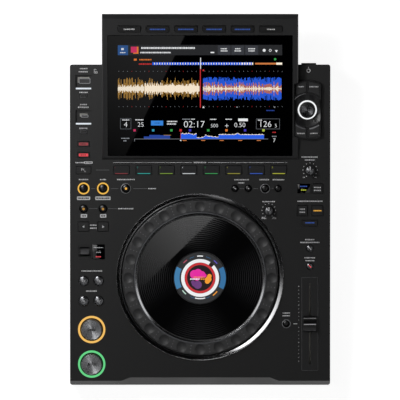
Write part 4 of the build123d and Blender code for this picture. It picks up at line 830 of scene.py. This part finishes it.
ground = [(0, 0, jogScreen["picture"])]
stamp("jog_picture_ground", jogLayer(1), "jog_display", paneBlack, dots=ground)
magentaSpots = [(-7.2, 4.6, 5.6), (-2.6, 6.4, 5.2), (2.2, 4.4, 4.4), (-4.0, 1.2, 4.6), (5.6, 3.0, 2.6)]
pictureLayers = {
    # name: finish and shapes, from the back layer to the front one
    "purple": (panePurple, {"dots": [(-3.0, -8.6, 5.2), (-9.0, -5.4, 2.4), (-7.0, -7.6, 3.4)]}),
    "magenta": (paneMagenta, {"dots": magentaSpots}),
    "orange": (paneOrange, {"dots": [(10.6, -1.6, 3.9), (9.2, -4.2, 3.2), (11.8, 2.4, 2.8)]}),
    "white": (paneWhite, {"words": [(-6.5, -1.4, 12, 1.8)]}),
    "caption": (paneOrange, {"words": [(-1.0, 1.1, 14, 1.2), (6.2, -1.4, 11, 1.8)]}),
}
for layer, (name, (finish, shapes)) in enumerate(pictureLayers.items()):
    stamp("jog_picture_" + name, jogLayer(layer + 2), "jog_display", finish, **shapes)
print("jog wheel finished")

# pot knobs: fluted skirt, spun top and white pointer
potKnobs = {
    # name: x, distance, radius
    "vinyl_speed_knob": (columns["right"], rows["hotCue"], 6.7),
    "jog_adjust_knob": (86.8, 220.9, 6.3),
}
for name, (x, distance, radius) in potKnobs.items():
    place = onDeck(x, distance)
    neck = radius - 1.8
    outline = [
        (0, 11.5), (radius - 1.7, 11.5), (radius - 1.0, 11.3), (radius - 0.7, 10.6),
        (radius - 0.5, 5.0), (radius, 4.4), (radius, 0.6), (0, 0.6),
    ]
    settle(flutedKnob(outline, 72, 18, 0.25), name + "_grip", place, name, knobBlack, True)
    top = turned([(0, 11.6), (neck - 0.2, 11.6), (neck, 11.5), (neck, 11.2), (0, 11.2)], 64)
    settle(top, name + "_top", place, name, spunCap(name.replace("_", " "), place, "#808184", 0.26))
    pointer = [(0, radius / 2 - 0.6, 1.3, radius - 1.4)]
    stamp(name + "_pointer", raised(place, 11.64), name, paleInk, bars=pointer, corner=0.3)

# browse knob: fluted grip with a spun top, in a dish with a painted highlight: a chrome arc laid only on the
# rear of its rim
browse = {"radius": 9.9, "bottom": 7.1, "top": 15.0, "flutes": 24, "fluteDepth": 0.45}
radius, bottom, top = browse["radius"], browse["bottom"], browse["top"]
outline = [
    (0, top - 0.5), (8.0, top - 0.5), (8.3, top - 0.3), (8.8, top - 0.3), (9.5, top - 0.7),
    (radius, top - 1.6), (radius, bottom + 0.4), (radius - 0.4, bottom), (0, bottom),
]
grip = flutedKnob(outline, 96, browse["flutes"], browse["fluteDepth"])
settle(grip, "browse_knob_grip", podPlace, "browse_knob", knobBlack, True)
outline = [
    (0, top - 0.25), (5.0, top - 0.2), (7.0, top - 0.02), (7.6, top), (7.9, top - 0.2),
    (7.9, top - 0.6), (0, top - 0.6),
]
browseMetal = spunCap("browse knob", podPlace, "#77787b", 0.24)
settle(turned(outline), "browse_knob_top", podPlace, "browse_knob", browseMetal)
# painted highlight: bright chrome only from 96 to 142 degrees, where the light catches the rim
rim = arcBand(pod["dish"], pod["dish"] - 0.7, 96, 142, 32)
settle(rim, "browse_dish_highlight_arc", raised(podPlace, pod["rim"] + 0.05), "browse_pod", rimChrome)
print("knobs made")

# printed legends: words are stood for by small uneven blocks, given by x, distance and width
printHeight = 0.04
printLift = 0.06  # of print and lamps on domes
panelPlace = onDeck(0, 0, printHeight)


def printPanel(name, ink, **shapes):
    stamp(name, panelPlace, "top_cover", ink, **shapes)


leftWords = [
    (-146.9, 399.8, 9.7), (-147.2, 395.9, 12.0), (-147.2, 369.8, 10.5), (-147.2, 354.5, 8.8),
    (-147.3, 351.1, 13.9), (-147.3, 324.5, 10.5), (-152.4, 281.2, 10.5), (-147.2, 259.8, 11.9),
    (-122.7, 259.8, 7.6), (-93.8, 259.8, 22.2), (-60.7, 248.3, 9.7), (-94.0, 223.0, 19.0),
    (-134.9, 202.1, 8.5), (-134.9, 198.4, 8.5), (-136.8, 144.2, 25.9), (-136.9, 118.8, 14.2),
]
rightWords = [
    (52.5, 259.6, 18.3), (52.4, 255.6, 8.8), (81.3, 259.6, 12.6), (99.0, 259.6, 14.7),
    (86.6, 231.9, 15.8), (80.5, 210.8, 5.7), (94.1, 210.8, 6.2), (138.7, 288.2, 21.5),
    (138.7, 284.5, 12.4), (138.9, 232.4, 31.6), (138.8, 183.9, 12.1), (138.7, 180.3, 24.0),
    (138.7, 160.9, 13.9), (138.7, 157.3, 11.4), (109.0, 91.1, 9.1), (109.0, 87.6, 9.1),
]
printPanel("legends_left", whiteInk, words=sloped(leftWords))
printPanel("legends_right", whiteInk, words=sloped(rightWords))

# pill-shaped tags and the boxed half of the call legend: x, distance, width, height
tags = [
    (-147.2, 236.2, 16.7, 4.5), (-122.7, 236.2, 19.3, 4.5), (-146.8, 213.9, 8.0, 4.5),
    (-122.5, 213.9, 8.0, 4.5), (-141.3, 281.2, 11.0, 3.0),
]
printPanel("tags", whiteInk, bars=sloped(tags), corner=0.9)
tagWords = [(x, distance, width - 2.6, height * 0.42) for x, distance, width, height in tags]
stamp("tag_words", raised(panelPlace, 0.02), "top_cover", darkInk, words=sloped(tagWords))

# thin link lines between keys and groups, given by their left end, right end and row in the
# pixels of the front view
pixel = {"scale": 1.2637, "centreX": 200.06, "frontY": 385.1, "thickness": 0.45}


def fromView(left, right, row):
    x = ((left + right) / 2 - pixel["centreX"]) * pixel["scale"]
    distance = (pixel["frontY"] - row) * pixel["scale"]
    return (x, alongDeck(distance), (right - left) * pixel["scale"], pixel["thickness"])


linkSpans = [
    (95.9, 109.3, 170), (91.3, 95.2, 188.6), (111, 118.4, 188.6), (133.3, 147, 188.6),
    (88.9, 97.5, 208.5), (108, 117, 208.5), (239.5, 244.3, 188.6), (253.2, 258, 188.6),
    (271.5, 274, 188.6),
]
linkLines = [fromView(*span) for span in linkSpans]
printPanel("link_lines", greyInk, bars=linkLines)
hotCueLines = [fromView(113, 192, 162.5), fromView(208, 287, 162.5)]
printPanel("hot_cue_lines", whiteInk, bars=hotCueLines)
printPanel("hot_cue_legend", whiteInk, words=sloped([(0, 281.3, 15.8)]))

# icons beside the rear keys: a padlock and a power sign
lock = [
    (0.2, -0.9, 4.4, 0.6), (0.2, -2.9, 4.4, 0.6), (-1.7, -1.9, 0.6, 2.6), (2.1, -1.9, 0.6, 2.6),
    (0.2, -1.9, 1.2, 0.8), (-1.6, 0.6, 0.6, 2.4), (-0.5, 2.1, 2.8, 0.6), (0.7, 1.5, 0.6, 1.4),
]
stamp("lock_icon", onDeck(-132.0, 396.9, printHeight), "top_cover", whiteInk, bars=lock)
powerSign = {"bars": [(0, 3.4, 0.6, 1.6)], "rings": [(0, -0.4, 2.5, 1.7)]}
stamp("power_icon", onDeck(136.9, 397.7, printHeight), "top_cover", whiteInk, **powerSign)

# hot cue keys: a lit line and a number on each
hotCue = {"pitch": 28.4, "top": 1.8, "glow": 0.9}
hotCueColours = ("#7a262c", "#239890", "#6e8c2c", "#c0c4c8", "#2f8f4c", "#86822c", "#2c52b0", "#a2a42e")
for number, code in enumerate(hotCueColours, 1):
    key = "hot_cue_button_%d" % number
    place = onDeck((number - 4.5) * hotCue["pitch"], rows["hotCue"], hotCue["top"] + printHeight)
    lens = litLens("hot cue %d line polycarbonate" % number, code, hotCue["glow"])
    stamp("hot_cue_line_%d" % number, place, key, lens, bars=[(0, -4.3, 16.0, 1.1)], corner=0.4)
    digit = numerals([(str(number), -8.0, 3.4, 2.2)])
    settle(digit, "hot_cue_number_%d" % number, place, key, lens)

# cue and play symbols
capMark = bigKey["top"] + 0.05
place = atKey("transport", "cue", capMark)
stamp("cue_symbol", place, "cue_button", darkInk, words=[(0, 0, 10.5, 2.6)])
place = atKey("transport", "play", capMark)
playSign = {"bars": [(3.2, 0, 1.1, 3.8), (5.3, 0, 1.1, 3.8)], "arrows": [(-3.6, 0, 2.5, 0)]}
stamp("play_symbol", place, "play_button", darkInk, **playSign)

# double arrows on the track and search keys, with a bar on the track keys
for name in ("track_back", "track_forward", "search_back", "search_forward"):
    key, column, row, radius, rise = metalDomes[name]
    way = 180 if "back" in name else 0
    sense = cos(radians(way))
    arrows = [(-1.1 * sense, 0, 1.3, way), (1.1 * sense, 0, 1.3, way)]
    stop = [(2.3 * sense, 0, 0.45, 2.2)] if row == "track" else []
    place = atKey(column, row, rise + printLift)
    stamp(name + "_symbol", place, key, paleInk, bars=stop, arrows=arrows)

# beat jump keys: an arrow on each
keyMark = onDeck(0, 0, 1.85)
arrows = [(columns["left"], rows["beatJump"], 1.9, 180), (columns["leftInner"], rows["beatJump"], 1.9, 0)]
stamp("beat_jump_arrows", keyMark, "beat_jump_buttons", paleInk, arrows=sloped(arrows))

# left column: call sign, red source lamps and outlined stop keys
side = {"call": 271.8, "sources": (304.8, 291.0), "stops": (365.5, 320.3)}
x, y = columns["left"], alongDeck(side["call"])
callSign = {
    "bars": [(x - 1.0, y + 1.2, 3.6, 0.6), (x - 2.4, y, 0.6, 2.2)],
    "dots": [(x - 0.6 + step * 0.55, y + 0.6 - step * 0.5, 0.42) for step in range(6)],
    "arrows": [(x - 2.2, y + 1.5, 1.3, 140)],
}
stamp("call_symbol", keyMark, "side_buttons", whiteInk, **callSign)
for distance, finish in zip(side["sources"], (dimRedGlow, redGlow)):
    name, lamp, words = "source_lamp_%d" % distance, (x, distance, 11.8, 3.6), (x, distance, 7.4, 1.3)
    stamp(name, keyMark, "side_buttons", finish, bars=sloped([lamp]), corner=0.6)
    stamp(name + "_words", raised(keyMark, 0.02), "side_buttons", darkInk, words=sloped([words]))
stopOutlines = []
for y in map(alongDeck, side["stops"]):
    stopOutlines += [(x, y + sense * 1.75, 7.2, 0.3) for sense in (-1, 1)]
    stopOutlines += [(x + sense * 3.9, y, 0.3, 2.6) for sense in (-1, 1)]
stamp("stop_outlines", keyMark, "side_buttons", greyInk, bars=stopOutlines)

# lamps in the loop domes
lampHeight = loopRise + printLift
beatLamps = sloped([(columns[column], rows["beatLoop"], 1.6) for column in ("left", "leftInner")])
stamp("beat_loop_lamps", onDeck(0, 0, lampHeight), "beat_loop_buttons", amberDimGlow, dots=beatLamps)
place = atKey("reloop", "loop", lampHeight)
stamp("reloop_lamp", place, "reloop_button", amberGlow, dots=[(0.2, 0.1, 1.5)])

# memory call keys: an arrow on each
domeMark = onDeck(0, 0, smallRise + printLift)
arrows = [(columns["callBack"], rows["loop"], 1.2, 180), (columns["callNext"], rows["loop"], 1.2, 0)]
stamp("memory_arrows", domeMark, "memory_buttons", paleInk, arrows=sloped(arrows))

# words on the keys of the right column
keyWords = {
    # name: node, finish, and each word's x, distance, width and height
    "mode": ("jog_mode_button", whiteInk, [(148.3, 250.0, 8.8, 1.4), (148.3, 246.3, 8.8, 1.4)]),
    "sync": ("beat_sync_button", paleInk, [(129.3, 222.5, 6.8, 1.5), (129.3, 218.7, 6.8, 1.5)]),
    "master": ("master_button", amberGlow, [(148.3, 220.6, 9.8, 1.5)]),
    "key_sync": ("key_sync_button", deepBlueGlow, [(138.8, 205.3, 11.5, 1.5)]),
}
for name, (node, finish, words) in keyWords.items():
    stamp(name + "_words", keyMark, node, finish, words=sloped(words))

# browse pod: a word on each of its four keys, and a painted highlight on the front two: an arc of bright
# chrome on the right key, of duller satin on the left
podTop = raised(podPlace, pod["keyTop"])
podWords = [(-8.2, 29.6, 7.6, 1.5), (8.2, 29.6, 11.4, 1.5), (-8.2, -29.6, 9.5, 1.5), (8.2, -29.6, 9.6, 1.5)]
stamp("pod_legends", podTop, "browse_buttons", whiteInk, words=podWords)
# painted highlights: arcs laid only where the light catches the keys' inner edges, brighter on the right
for name, finish, start, end in (("right", rimChrome, -84, -52), ("left", lipSatin, -128, -96)):
    edge = arcBand(24.6, 22.9, start, end, 24)
    settle(edge, "pod_key_highlight_" + name, podTop, "browse_buttons", finish)

# tempo fader: lines on its cap, its plate's outline and the printed scale
fader = {"travel": 47.5, "plateTop": 1.04, "capTop": 9.84, "steps": 20, "scaleX": -14.1}
faderPlace = atKey("right", "fader")
capTop = raised(faderPlace, fader["capTop"])
capLines = (("centre", 0.2, 1.1, paleInk), ("rear", 8.0, 0.5, whiteInk), ("front", -7.2, 0.5, greyInk))
for name, y, height, finish in capLines:
    stamp("fader_%s_line" % name, capTop, "tempo_fader_cap", finish, bars=[(0, y, 15.4, height)])
scaleDots = []
for index in range(fader["steps"] + 1):
    if index != fader["steps"] // 2:
        reach = fader["travel"] * (2 * index / fader["steps"] - 1)
        scaleDots.append((fader["scaleX"], reach, 0.4 if index % 5 else 0.6))
scale = {"bars": [(-18.4, 0, 4.9, 0.9)], "dots": scaleDots}
stamp("tempo_scale", raised(faderPlace, printHeight), "top_cover", whiteInk, **scale)
plateEdge = [(-10.2, 0, 0.3, 118.2), (10.2, 0, 0.3, 118.2), (0, 59.1, 20.4, 0.3), (0, -59.1, 20.4, 0.3)]
stamp("fader_plate_outline", raised(faderPlace, fader["plateTop"]), "fader_bezel", greyInk, bars=plateEdge)

# dots round the two pot knobs, and a small word at each end of the sweep
for name, (x, distance, radius) in potKnobs.items():
    reach = radius + 2.3
    angles = [radians(-60 + 30 * step) for step in range(11)]
    dots = [(reach * cos(angle), reach * sin(angle), 0.55) for angle in angles]
    ends = [(sense * (radius + 0.6), -radius - 2.6, 3.4, 1.2) for sense in (-1, 1)]
    stamp(name + "_dial", onDeck(x, distance, printHeight), "top_cover", whiteInk, words=ends, dots=dots)

# direction lever: grip ridges drawn as flat light grey lines, painted highlights on the ridges
lever = {"x": -145.8, "top": 5.04, "pitch": 1.4, "ridges": 7}
ridges = [((index - 3) * lever["pitch"], 0, 0.5, 4.8) for index in range(lever["ridges"])]
place = onDeck(lever["x"], rows["direction"], lever["top"])
stamp("lever_ridge_highlights", place, "direction_lever", greyInk, bars=ridges)

# words in the windows beside the lever and the jog mode key
windowMark = onDeck(0, 0, 0.35)
windowWords = {
    # name: finish, and each word's x, distance, width and height
    "direction": (paleInk, [(-128.2, 173.8, 12.5, 1.2), (-128.2, 167.8, 6.6, 1.2)]),
    "direction_slip": (redGlow, [(-128.5, 162.3, 6.8, 1.3)]),
    "mode_upper": (deepBlueGlow, [(131.1, 251.2, 9.4, 1.4)]),
    "mode_lower": (limeGlow, [(131.1, 246.6, 7.0, 1.3)]),
}
for name, (finish, words) in windowWords.items():
    stamp(name + "_words", windowMark, "indicator_lenses", finish, words=sloped(words))

# painted highlights on the two tempo keys: a slanting white glint on the upper, and a slanting red glowing
# one on the lower
for row, finish in (("tempoRange", paleInk), ("masterTempo", redGlow)):
    place = atKey("right", row, smallRise + printLift) @ Matrix.Rotation(radians(-45), 4, "Z")
    stamp(row + "_painted_glint", place, "tempo_buttons", finish, bars=[(0, 0, 4.6, 1.1)], corner=0.4)

# keys above the display: white words on the outer two, blue ones between
displayKeys = {"along": 167.9, "pitch": 35.7, "top": 1.86, "widths": (14, 19.6, 19.6, 19.6, 19.6, 10)}
keyTop = onScreen(0, 0, displayKeys["top"])
displayWords = [
    ((index - 2.5) * displayKeys["pitch"], displayKeys["along"], width, 1.7)
    for index, width in enumerate(displayKeys["widths"])
]
outerWords, innerWords = displayWords[::5], displayWords[1:5]
stamp("display_key_words_white", keyTop, "display_buttons", paleInk, words=outerWords)
stamp("display_key_words_blue", keyTop, "display_buttons", deepBlueGlow, words=innerWords)
print("controls printed")

# what the touch display shows: x from its middle, y up from the glass's front edge
glass = {"start": 3.874, "height": 0.05, "step": 0.012}
pixels = {
    # name: sRGB code of a lit area
    "barGrey": "#1b1c1f",
    "buttonGrey": "#303238",
    "frameGrey": "#6c7076",
    "textWhite": "#e6e8ea",
    "textGrey": "#8b9096",
    "boxBlue": "#2f7fd6",
    "boxDeep": "#204a80",
    "waveBlue": "#1f5ce4",
    "waveDeep": "#1c3f96",
    "waveGold": "#b98a3c",
    "waveOrange": "#c8743a",
    "waveCream": "#fbeed8",
    "markRed": "#c8282c",
    "markPink": "#c02a5a",
    "markCyan": "#2a94b0",
    "markGreen": "#2f9c46",
    "markViolet": "#3a2fb0",
    "markOrange": "#d8742a",
    "markLime": "#a8b83a",
}


def waveform(left, right, low, high, step, seed, bias=1.6, fill=0.85, centre=87.0):
    # upright strokes of irregular height about a centre line, between two reaches
    strokes = []
    for index in range(int((right - left) / step)):
        chance = sin(index * 12.9898 + seed) * 43758.5453 % 1.0
        reach = low + (high - low) * chance**bias
        strokes.append((left + (index + 0.5) * step, centre, step * fill, 2 * reach))
    return strokes


def boxes(*spans):
    # bars given by their left, right, lower and upper sides
    return [((x0 + x1) / 2, (y0 + y1) / 2, x1 - x0, y1 - y0) for x0, x1, y0, y1 in spans]


def boxEdges(x0, x1, y0, y1, line=0.35):
    across = [(x0, x1, y0, y0 + line), (x0, x1, y1 - line, y1)]
    return boxes(*across, (x0, x0 + line, y0, y1), (x1 - line, x1, y0, y1))


def hills(left, heights, base, step):
    # a filled outline over the overview line, as upright strokes
    edges = [left + index * step for index in range(len(heights) + 1)]
    return boxes(*((x0, x1, base, base + high) for x0, x1, high in zip(edges, edges[1:], heights)))


tickSpots = [(-102.4 + index * 5.42, y, index % 4 == 3) for y in (109.5, 63.9) for index in range(39)]
redTicks = [(x, y, 0.35, 1.0) for x, y, isRed in tickSpots if isRed]
greyTicks = [(x, y, 0.35, 1.0) for x, y, isRed in tickSpots if not isRed]
# overview of the track: a line that its outline stands on, and the heights of its two parts
overview = {"base": 22.2, "left": -71.0, "leftStep": 1.14, "right": -24.5, "rightWidth": 105.2}
leftHills = [3.0] * 6 + [5.0] * 12 + [4.6] * 11
rightHills = [6.2, 6.6, 6.2, 5.8, 6.6, 6.2, 6.8, 6.4, 6.0, 5.6, 4.8, 5.4, 6.2, 1.4, 1.0, 1.0, 1.2, 1.6, 2.0]
rightHills += [3.0, 4.4, 3.6, 3.0, 2.8, 3.2, 2.6, 2.2, 2.6, 2.2, 1.8, 2.2]
rightHills += [5.0, 5.4] * 7 + [6.0, 7.0, 6.0] + [5.2, 5.0] * 10
rightStep = overview["rightWidth"] / len(rightHills)
crests = []
for index, high in enumerate(rightHills):
    left, foot = overview["right"] + index * rightStep, overview["base"] + high
    crests.append((left, left + rightStep, foot, foot + 0.5 + 0.5 * (sin(index * 2.3) > 0.1)))
chevrons = [-59.0 + index * 3.25 for index in range(39)]
cuePoints = [
    (-82.7, "markPink"), (-59.2, "markCyan"), (-36.2, "markGreen"), (-24.5, "markRed"),
    (-12.7, "markViolet"), (10.3, "markGreen"), (33.3, "markOrange"), (56.8, "markViolet"),
    (80.0, "markLime"),
]
blueBars = hills(overview["right"], rightHills, overview["base"], rightStep)
blueBars += waveform(3.7, 103.5, 5.0, 15.0, 1.0, 4, 0.25, 0.8) + [(x, 119.4, 2.3, 3.4) for x in chevrons]
goldBars = waveform(-103.7, -0.4, 4.5, 14.5, 0.9, 7, 1.3, 0.55) + boxes((-46.0, -37.0, 26.6, 27.2))
orangeBars = waveform(3.7, 103.5, 2.2, 9.0, 1.0, 9, 1.0, 0.7) + boxes((69.4, 96.0, 118.3, 120.5))
orangeBars += boxes(*((-22.0 + 23.4 * n, -17.0 + 23.4 * n, 19.6, 20.6) for n in range(5)))
creamBars = waveform(-103.7, -70.0, 2.2, 6.0, 0.9, 3) + waveform(-70.0, -0.4, 3.4, 8.0, 0.9, 5)
creamBars += waveform(3.7, 103.5, 0.6, 4.6, 1.0, 9, 2.0)
creamBars += [(x + 1.6, 119.4, 0.9, 2.6) for x in chevrons[:34]]
creamBars += [(x + 1.6, 119.4, 1.7, 2.8) for x in chevrons[34:]]
creamBars += boxes((96.0, 103.5, 118.0, 120.8), *crests)
buttons = boxes((22.4, 38.2, 130.9, 142.9), (39.6, 55.4, 130.9, 142.9), (57, 73.1, 130.9, 142.9))
orangeMarks = boxes((-79.7, -77.7, 132.2, 141.3), (-84.3, -79.7, 132.2, 133.6), (-83.5, -79.9, 123.4, 125.8))
redMarks = boxes((-0.2, 0.9, 62.6, 112.8), (-24.7, -24.2, 22.2, 31.0)) + redTicks
redWords = [(-69.2, 118.9, 16.1, 1.7), (93.5, 30.6, 4.1, 1.3)]
whiteMarks = boxes((13.2, 17.8, 133.0, 134.6), (0.2, 1.1, 112.8, 127.0), (48.1, 60.3, 45.0, 48.5))
whiteMarks += boxes((31.5, 35.9, 38.8, 39.4), (33.4, 34.0, 36.9, 41.4))
whiteWords = [
    (-40.2, 139.6, 68.0, 2.3), (-56.0, 133.7, 38.6, 1.8), (-97.2, 138.2, 4.0, 2.6),
    (-97.2, 133.6, 7.0, 1.1), (30.3, 138.6, 8.5, 1.4), (30.3, 135.8, 8.5, 1.4),
    (47.5, 138.6, 6.5, 1.4), (47.5, 135.8, 8.0, 1.4), (65.0, 138.6, 8.5, 1.4),
    (65.0, 135.8, 8.0, 1.4), (-35.4, 44.6, 12.7, 1.5), (-36.1, 41.4, 11.4, 1.5),
    (-9.0, 47.6, 4.4, 1.2), (16.7, 47.4, 8.2, 1.2), (36.1, 47.5, 8.0, 1.2),
    (-76.2, 46.8, 10.8, 1.3), (-93.9, 46.6, 9.0, 1.2), (75.4, 46.4, 5.0, 1.2),
]
whiteSigns = {"rings": [(88.4, 136.6, 1.7, 1.1)], "dots": [(80.8, 136.6, 1.9)]}
whiteSigns["arrows"] = [(96.2, 135.8, 2.2, -90), (4.2, 63.0, 1.6, 90), (-24.4, 20.2, 1.4, 90)]
greyArrows = [(46.6, 63.2, 1.3, 150), (94.0, 63.2, 1.3, 150)]
greyMarks = greyTicks + boxes((-82.7, 85.9, 21.8, 22.2), (-83.0, -82.5, 18.9, 22.2))
greyWords = [
    (-17.4, 47.6, 10.0, 1.2), (-94.2, 22.8, 10.4, 1.3), (-94.5, 19.6, 4.4, 1.3),
    (93.7, 25.3, 5.7, 1.2),
]
screenLayers = [
    # layer, colour, shapes
    (0, "barGrey", {"bars": boxes((-103.7, 103.5, 130.3, 143.6))}),
    (0, "waveDeep", {"bars": hills(overview["left"], leftHills, overview["base"], overview["leftStep"])}),
    (0, "waveBlue", {"bars": blueBars}),
    (0, "waveGold", {"bars": goldBars}),
    (1, "waveOrange", {"bars": orangeBars}),
    (2, "waveCream", {"bars": creamBars}),
    (1, "buttonGrey", {"bars": buttons}),
    (1, "frameGrey", {"bars": boxEdges(-100.7, -87.1, 34.8, 48.7) + boxEdges(70.8, 100.5, 34.8, 48.2)}),
    (1, "boxBlue", {"bars": boxes((-61.9, -46.6, 39.5, 45.7))}),
    (1, "boxDeep", {"bars": boxes((-103.7, -90.8, 130.4, 143.0)), "words": [(-54.2, 42.6, 7.6, 1.4)]}),
    (2, "markPink", {"bars": boxes((-87.3, -79.7, 133.6, 141.3))}),
    (2, "markOrange", {"bars": orangeMarks, "words": [(-68.6, 124.5, 15.8, 1.7)]}),
    (2, "textWhite", {"bars": whiteMarks, "words": whiteWords, **whiteSigns}),
    (2, "textGrey", {"bars": greyMarks, "words": greyWords, "arrows": greyArrows}),
    (2, "waveDeep", {"words": [(89.0, 58.8, 10.5, 1.3)]}),
    (2, "markRed", {"bars": redMarks, "words": redWords, "dots": [(4.2, 110.8, 1.1)]}),
    (2, "markGreen", {"dots": [(94.6, 125.1, 1.5)]}),
]
screenLayers += [(2, colour, {"bars": [(x, 33.2, 3.0, 2.9)]}) for x, colour in cuePoints]
screenLenses = {name: litLens("display pixels " + name, code) for name, code in pixels.items()}
for number, (layer, colour, shapes) in enumerate(screenLayers, 1):
    place = onScreen(0, glass["start"], glass["height"] + layer * glass["step"])
    stamp("screen_%02d_%s" % (number, colour), place, "touch_display", screenLenses[colour], **shapes)

# text, x, y, height
digits = [
    ("4", -93.9, 40.4, 6.8), ("25", -74.9, 40.4, 5.8), ("02:17", -7.4, 40.6, 8.4),
    ("500", 18.0, 39.0, 4.4), ("0.50", 50.2, 39.8, 5.8), ("126", 82.2, 40.9, 7.6),
    ("5", 95.6, 39.0, 4.4), ("7", 93.6, 20.0, 5.0),
]
place = onScreen(0, glass["start"], glass["height"] + 3 * glass["step"])
settle(numerals(digits), "screen_numbers", place, "touch_display", screenLenses["textWhite"])
print("display drawn")
